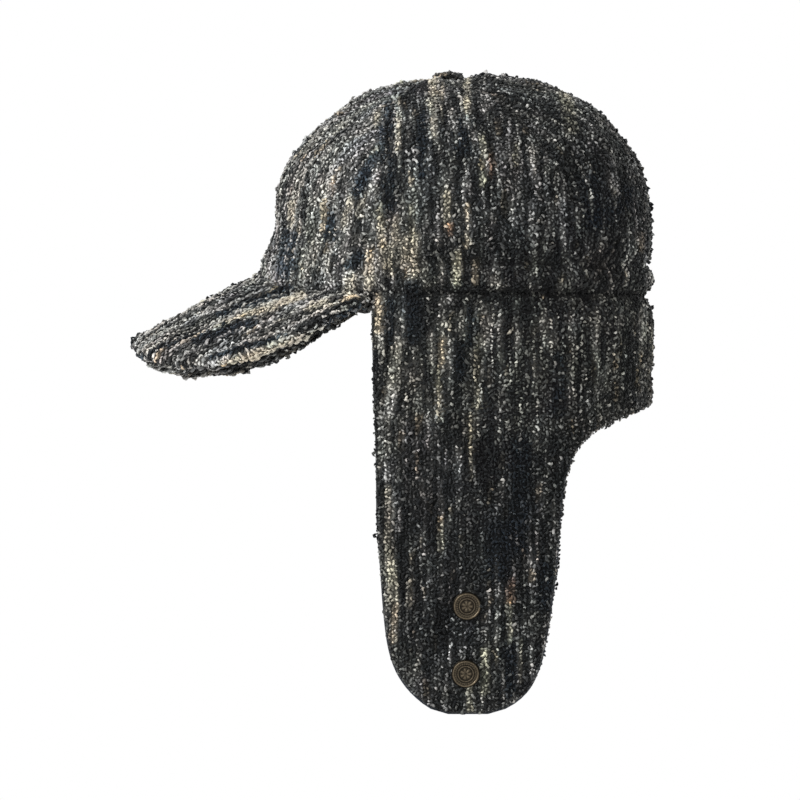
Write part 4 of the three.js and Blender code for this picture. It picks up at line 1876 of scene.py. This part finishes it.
@dataclass
class TopButton:
    """The cloth-covered button where the crown's seams meet."""

    x: float = -3.0
    radius: float = 8.6
    underside: float = 115.6
    widest: float = 117.2
    top: float = 120.2
    tip: float = 0.05
    inset: float = 0.8
    centre_height: float = 110.0
    seed: int = 401
    level: float = 0.7
    ground_dye_and_shade: float = 0.012
    rows: int = 33
    ground_rows: int = 13
    columns: int = 96

    def ring(self, rise: Array, inset: float) -> Array:
        """Points round the button.

        Over its widest ring the radius falls and Z rises as on a quarter ellipse.

        Args:
            rise: An angle over the widest ring, or a share of the way down under zero.
            inset: How far they are set in.

        Returns:
            Points, rows by columns by 3.
        """
        turn, rise = np.meshgrid(np.arange(self.columns + 1) * 2 * np.pi / self.columns, rise)
        radius = (self.radius - inset) * np.cos(np.maximum(rise, 0)) + self.tip
        z = self.widest + (self.top - self.widest - inset) * np.sin(np.maximum(rise, 0))
        z = z + (self.widest - self.underside) * np.minimum(rise, 0)
        return stack(self.x + radius * np.cos(turn), radius * np.sin(turn), z)

    def build(self, kit: Wardrobe) -> None:
        """Builds the button, with loops that hang over its side down to the crown.

        Args:
            kit: Cloth and finishes.
        """
        points = self.ring(np.linspace(-1, np.pi / 2, self.rows), 0)
        outward = points - (self.x, 0, self.centre_height)
        patch = Patch(points, points[..., 1], points[..., 0], outward, self.seed, self.level)
        patch.cells = (arc_length(points, 1), arc_length(points, 0))
        loops = kit.cloth.loops("top_button_loops", patch, kit.yarn)
        rises = np.linspace(-1, np.pi / 2, self.ground_rows)[:-1]
        rings = self.ring(rises, self.inset)[:, :-1].reshape(-1, 3)
        ends = np.array([[self.x, 0, self.underside], [self.x, 0, self.top - self.inset]])
        piece = put_round("top_button_ground", rings, ends, self.columns, kit.ground)
        # The ground under the loops is near black: dark base yarn and painted shade between them.
        put_colours(piece, np.full((len(piece.data.vertices), 3), self.ground_dye_and_shade))
        enrol(piece, Slot.CLOTH, "top_button")
        enrol(loops, Slot.CLOTH)


def put_round(name: str, rings: Array, ends: Array, columns: int, material: Material) -> Piece:
    """Makes a closed round piece from rings of vertices, closed by a point at each end.

    Args:
        name: The piece's name.
        rings: The rings' vertices, ring after ring, from the bottom up.
        ends: The bottom point and the top one.
        columns: Vertices in a ring.
        material: The finish.

    Returns:
        The piece.
    """
    count = len(rings)
    around = np.arange(columns)
    after = (around + 1) % columns
    quads = grid_quads(count // columns, columns, closed=True)
    last = count - columns
    bottom = np.stack([np.full(columns, count), after, around], axis=1)
    top = np.stack([np.full(columns, count + 1), last + around, last + after], axis=1)
    corners = np.concatenate([quads.ravel(), bottom.ravel(), top.ravel()])
    sides = np.concatenate([np.full(len(quads), 4), np.full(2 * columns, 3)])
    return put_mesh(name, np.concatenate([rings, ends]), corners, sides, material)


@dataclass(frozen=True)
class CapFace:
    """The face of a snap cap: a rim, a ring of beads, an inner ring and a low rosette.

    Each ring is the radius that it lies at and its spread.
    """

    base: float = 1.15
    rim: tuple[float, float] = (6.75, 0.5)
    rim_height: float = 0.55
    shoulder: tuple[float, float] = (7.0, 7.5)
    shoulder_drop: float = 0.5
    bead_ring: tuple[float, float] = (5.45, 0.42)
    bead_height: float = 0.24
    bead_bed: float = 0.1
    beads: int = 30
    inner_ring: tuple[float, float] = (4.15, 0.28)
    inner_height: float = 0.32
    dome_radius: float = 3.3
    dome_height: float = 0.3
    dimple: tuple[float, float] = (0.0, 1.1)
    dimple_depth: float = 0.2
    petal_ring: tuple[float, float] = (2.1, 0.9)
    petal_height: float = 0.16
    petals: int = 7

    def height(self, radius: Array, turn: Array) -> Array:
        """Height of the face: bells for rings, and cosines round for beads and petals.

        Args:
            radius: Distances from the middle.
            turn: Angles.

        Returns:
            Heights over the underside.
        """
        bead = self.bead_bed + self.bead_height * np.cos(self.beads / 2 * turn) ** 2
        petal = self.petal_height * np.cos(self.petals * turn)
        rings = self.base + self.rim_height * ridge(radius, self.rim)
        rings = rings + ridge(radius, self.bead_ring) * bead
        rings = rings + self.inner_height * ridge(radius, self.inner_ring)
        dome = self.dome_height * quarter_circle(radius / self.dome_radius)
        dome = dome - self.dimple_depth * ridge(radius, self.dimple)
        dome = dome + petal * ridge(radius, self.petal_ring)
        return rings + dome - self.shoulder_drop * ramp(radius, *self.shoulder)


@dataclass(frozen=True)
class SocketFace:
    """The face of a socket: a flat flange and a raised collar round a hole."""

    flange: float = 0.7
    collar: float = 1.6
    inside: tuple[float, float] = (2.1, 2.6)
    outside: tuple[float, float] = (3.9, 4.6)

    def height(self, radius: Array, turn: Array) -> Array:
        """Height at a radius, the same at every angle."""
        return self.flange + self.collar * ramp(radius, *self.inside) * (1 - ramp(radius, *self.outside))


@dataclass(frozen=True)
class StudFace:
    """The face of a stud: a flange and a round post."""

    flange: float = 0.7
    post: float = 2.5
    post_radius: float = 2.3

    def height(self, radius: Array, turn: Array) -> Array:
        """Height at a radius: the post falls as a squarish curve of the fourth power."""
        return self.flange + self.post * np.sqrt(np.clip(1 - (radius / self.post_radius) ** 4, 0, 1))


@dataclass(frozen=True)
class SnapPart:
    """A round part of a snap: its radius, its face, and whether it is outside its flap."""

    word: str
    reach: float
    face: CapFace | SocketFace | StudFace
    side: Side
    outside: bool


@dataclass
class Snaps:
    """The snap fasteners: caps with rings outside the left flap, and their mates.

    A row of the skirt is a share of a part's radius and a height over its underside.
    """

    flap: Flap
    parts: tuple[SnapPart, ...] = (
        SnapPart("cap", 7.8, CapFace(), Side.LEFT, outside=True),
        SnapPart("socket", 6.2, SocketFace(), Side.LEFT, outside=False),
        SnapPart("stud", 6.2, StudFace(), Side.RIGHT, outside=True),
    )
    stand_off: float = 0.4
    skirt: tuple[tuple[float, float], ...] = ((0.96, 0.0), (1.0, 0.12), (1.0, 0.45), (0.99, 0.62))
    radii: tuple[float, float] = (0.97, 0.03)
    worn_between: tuple[float, float] = (8.0, 92.0)
    dark: tuple[float, float, float] = (0.016, 0.014, 0.011)
    bright: tuple[float, float, float] = (0.13, 0.105, 0.072)
    rows: int = 34
    columns: int = 60

    def seat(self, part: SnapPart, place: tuple[float, float]) -> tuple[Array, Array]:
        """Where a part sits.

        Args:
            part: The part.
            place: Its X and its drop under the rim.

        Returns:
            Its three axes, the last one away from the flap, and the middle of its underside.
        """
        depth = 0.0 if part.outside else CLOTH_THICK + LINING_GAP + LINING_THICK
        surface = partial(self.flap.point, side=part.side, depth=np.array([depth]))
        x, drop = np.array([place[0]]), np.array([place[1]])
        step = 1.0
        normal = facing(surface, x, drop, step, step, np.array([0, part.side.value, 0]))[0]
        normal = normal if part.outside else -normal
        level = unit(np.cross((0, 0, 1), normal))
        axes = np.stack([level, np.cross(normal, level), normal])
        return axes, surface(x, drop)[0] + normal * self.stand_off

    def put(self, name: str, part: SnapPart, place: tuple[float, float], kit: Wardrobe) -> None:
        """Builds one part, dark in its grooves and bright where it is worn.

        Args:
            name: The node that it stands for.
            part: What it is.
            place: Its X and its drop under the rim.
            kit: The finishes.
        """
        radii = np.linspace(*self.radii, self.rows) * part.reach
        turns = np.arange(self.columns) * 2 * np.pi / self.columns
        radius, turn = np.meshgrid(radii, turns, indexing="ij")
        face = part.face.height(radius, turn)
        skirt = np.repeat(np.array(self.skirt)[:, None], self.columns, axis=1)
        radius = np.concatenate([skirt[..., 0] * part.reach, radius])
        height = np.concatenate([skirt[..., 1], face])
        turn = np.concatenate([turn[: len(skirt)], turn])
        local = stack(radius * np.cos(turn), radius * np.sin(turn), height).reshape(-1, 3)
        middle = part.face.height(np.zeros(1), np.zeros(1))[0]
        ends = np.array([[0, 0, 0], [0, 0, middle]])
        axes, base = self.seat(part, place)
        rings, ends = local @ axes + base, ends @ axes + base
        piece = put_round(name + "_metal", rings, ends, self.columns, kit.brass)
        low, high = np.percentile(face, self.worn_between)
        worn = ramp(np.concatenate([height.ravel(), [0, face[-1, 0]]]), low, high)
        put_colours(piece, mix(np.array(self.dark), np.array(self.bright), worn[:, None]))
        enrol(piece, Slot.METAL, name)

    def build(self, kit: Wardrobe) -> None:
        """Builds the caps, sockets and studs.

        Args:
            kit: The finishes.
        """
        for word, place in SNAP_PLACES.items():
            for part in self.parts:
                self.put(f"snap_{part.word}_{word}", part, place, kit)


@dataclass
class Studio:
    """A pale floor, soft lights, and the camera, level and nearly square to the side.

    Lengths here are metres.
    """

    view: View = field(default_factory=View)
    sensor: float = 36.0
    sees_until: float = 100.0
    floor_height: float = -0.30
    floor_radius: float = 30.0
    floor_fades: tuple[float, float] = (0.42, 0.85)
    floor_columns: int = 96
    ambient: float = 0.42

    def camera(self) -> None:
        """Places the camera: its lens shows the frame's width at the distance."""
        data = bpy.data.cameras.new("camera")
        data.sensor_width = self.sensor
        data.lens = self.sensor * self.view.distance / self.view.frame_width
        data.clip_end = self.sees_until
        back = Vector(self.view.axes()[1])
        camera = bpy.data.objects.new("camera", data)
        camera.location = Vector(self.view.target) + back * self.view.distance
        camera.rotation_euler = (-back).to_track_quat("-Z", "Y").to_euler()
        bpy.context.scene.collection.objects.link(camera)
        bpy.context.scene.camera = camera

    def light(self, name: str, place: tuple[float, float, float], size: float, watts: float) -> None:
        """Adds a square light that looks at the hat.

        Args:
            name: Its name.
            place: Where it stands.
            size: Its side.
            watts: Its power.
        """
        data = bpy.data.lights.new(name, "AREA")
        data.size = size
        data.energy = watts
        lamp = bpy.data.objects.new(name, data)
        lamp.location = place
        away = Vector(place) - Vector(self.view.target)
        lamp.rotation_euler = away.to_track_quat("Z", "Y").to_euler()
        bpy.context.scene.collection.objects.link(lamp)

    def floor(self) -> None:
        """A pale disc that turns into plain white away from the hat."""
        columns = self.floor_columns
        turn = np.arange(columns) * 2 * np.pi / columns
        circle = stack(np.cos(turn), np.sin(turn), np.zeros(columns)) * self.floor_radius / MM
        circle[:, 2] = self.floor_height / MM
        nodes = Nodes("floor")
        disc = put_mesh("floor", circle, np.arange(columns), np.array([columns]), nodes.material)
        length = nodes.tree.nodes.new("ShaderNodeVectorMath")
        length.operation = "LENGTH"
        nodes.feed(length.inputs[0], nodes.place)
        fade = nodes.add("ShaderNodeMapRange", Value=length.outputs["Value"])
        for end, distance in zip(("From Min", "From Max"), self.floor_fades):
            fade.inputs[end].default_value = distance
        nodes.settings(Base_Color=(0.86, 0.86, 0.86, 1), Roughness=0.95, Emission_Color=(1, 1, 1, 1))
        glow = nodes.add("ShaderNodeEmission")
        blend = nodes.add("ShaderNodeMixShader", Fac=fade.outputs["Result"])
        nodes.feed(blend.inputs[1], nodes.shader.outputs["BSDF"])
        nodes.feed(blend.inputs[2], glow.outputs["Emission"])
        output = next(n for n in nodes.tree.nodes if n.type == "OUTPUT_MATERIAL")
        nodes.feed(output.inputs["Surface"], blend.outputs["Shader"])

    def world(self) -> None:
        """White behind the hat for the camera, and softer light from all round."""
        world = bpy.data.worlds.new("studio")
        world.use_nodes = True
        tree = world.node_tree
        background = next(n for n in tree.nodes if n.type == "BACKGROUND")
        path = tree.nodes.new("ShaderNodeLightPath")
        strength = tree.nodes.new("ShaderNodeMapRange")
        strength.inputs["To Min"].default_value = self.ambient
        strength.inputs["To Max"].default_value = 1.0
        tree.links.new(path.outputs["Is Camera Ray"], strength.inputs["Value"])
        tree.links.new(strength.outputs["Result"], background.inputs["Strength"])
        background.inputs["Color"].default_value = (1, 1, 1, 1)
        bpy.context.scene.world = world

    def build(self) -> None:
        """Sets up everything round the hat."""
        self.camera()
        self.floor()
        self.world()
        self.light("key", (-2.0, -1.7, 1.4), size=0.7, watts=85.0)
        self.light("fill", (0.9, -2.6, 0.3), size=1.4, watts=16.0)
        self.light("far side", (1.5, 2.4, 1.1), size=1.4, watts=45.0)
        bpy.context.scene.view_settings.view_transform = "Standard"


def main() -> None:
    """Builds the hat's sub-assemblies in order."""
    logging.basicConfig(level=logging.INFO, format="%(message)s")
    studio = Studio()
    studio.build()
    kit = Wardrobe.stock()
    crown, flap = Crown(), Flap()
    for part in (crown, flap, Visor(crown), TopButton(), Snaps(flap)):
        part.build(kit)
        log.info("%s is built", type(part).__name__)


if __name__ == "__main__":
    main()
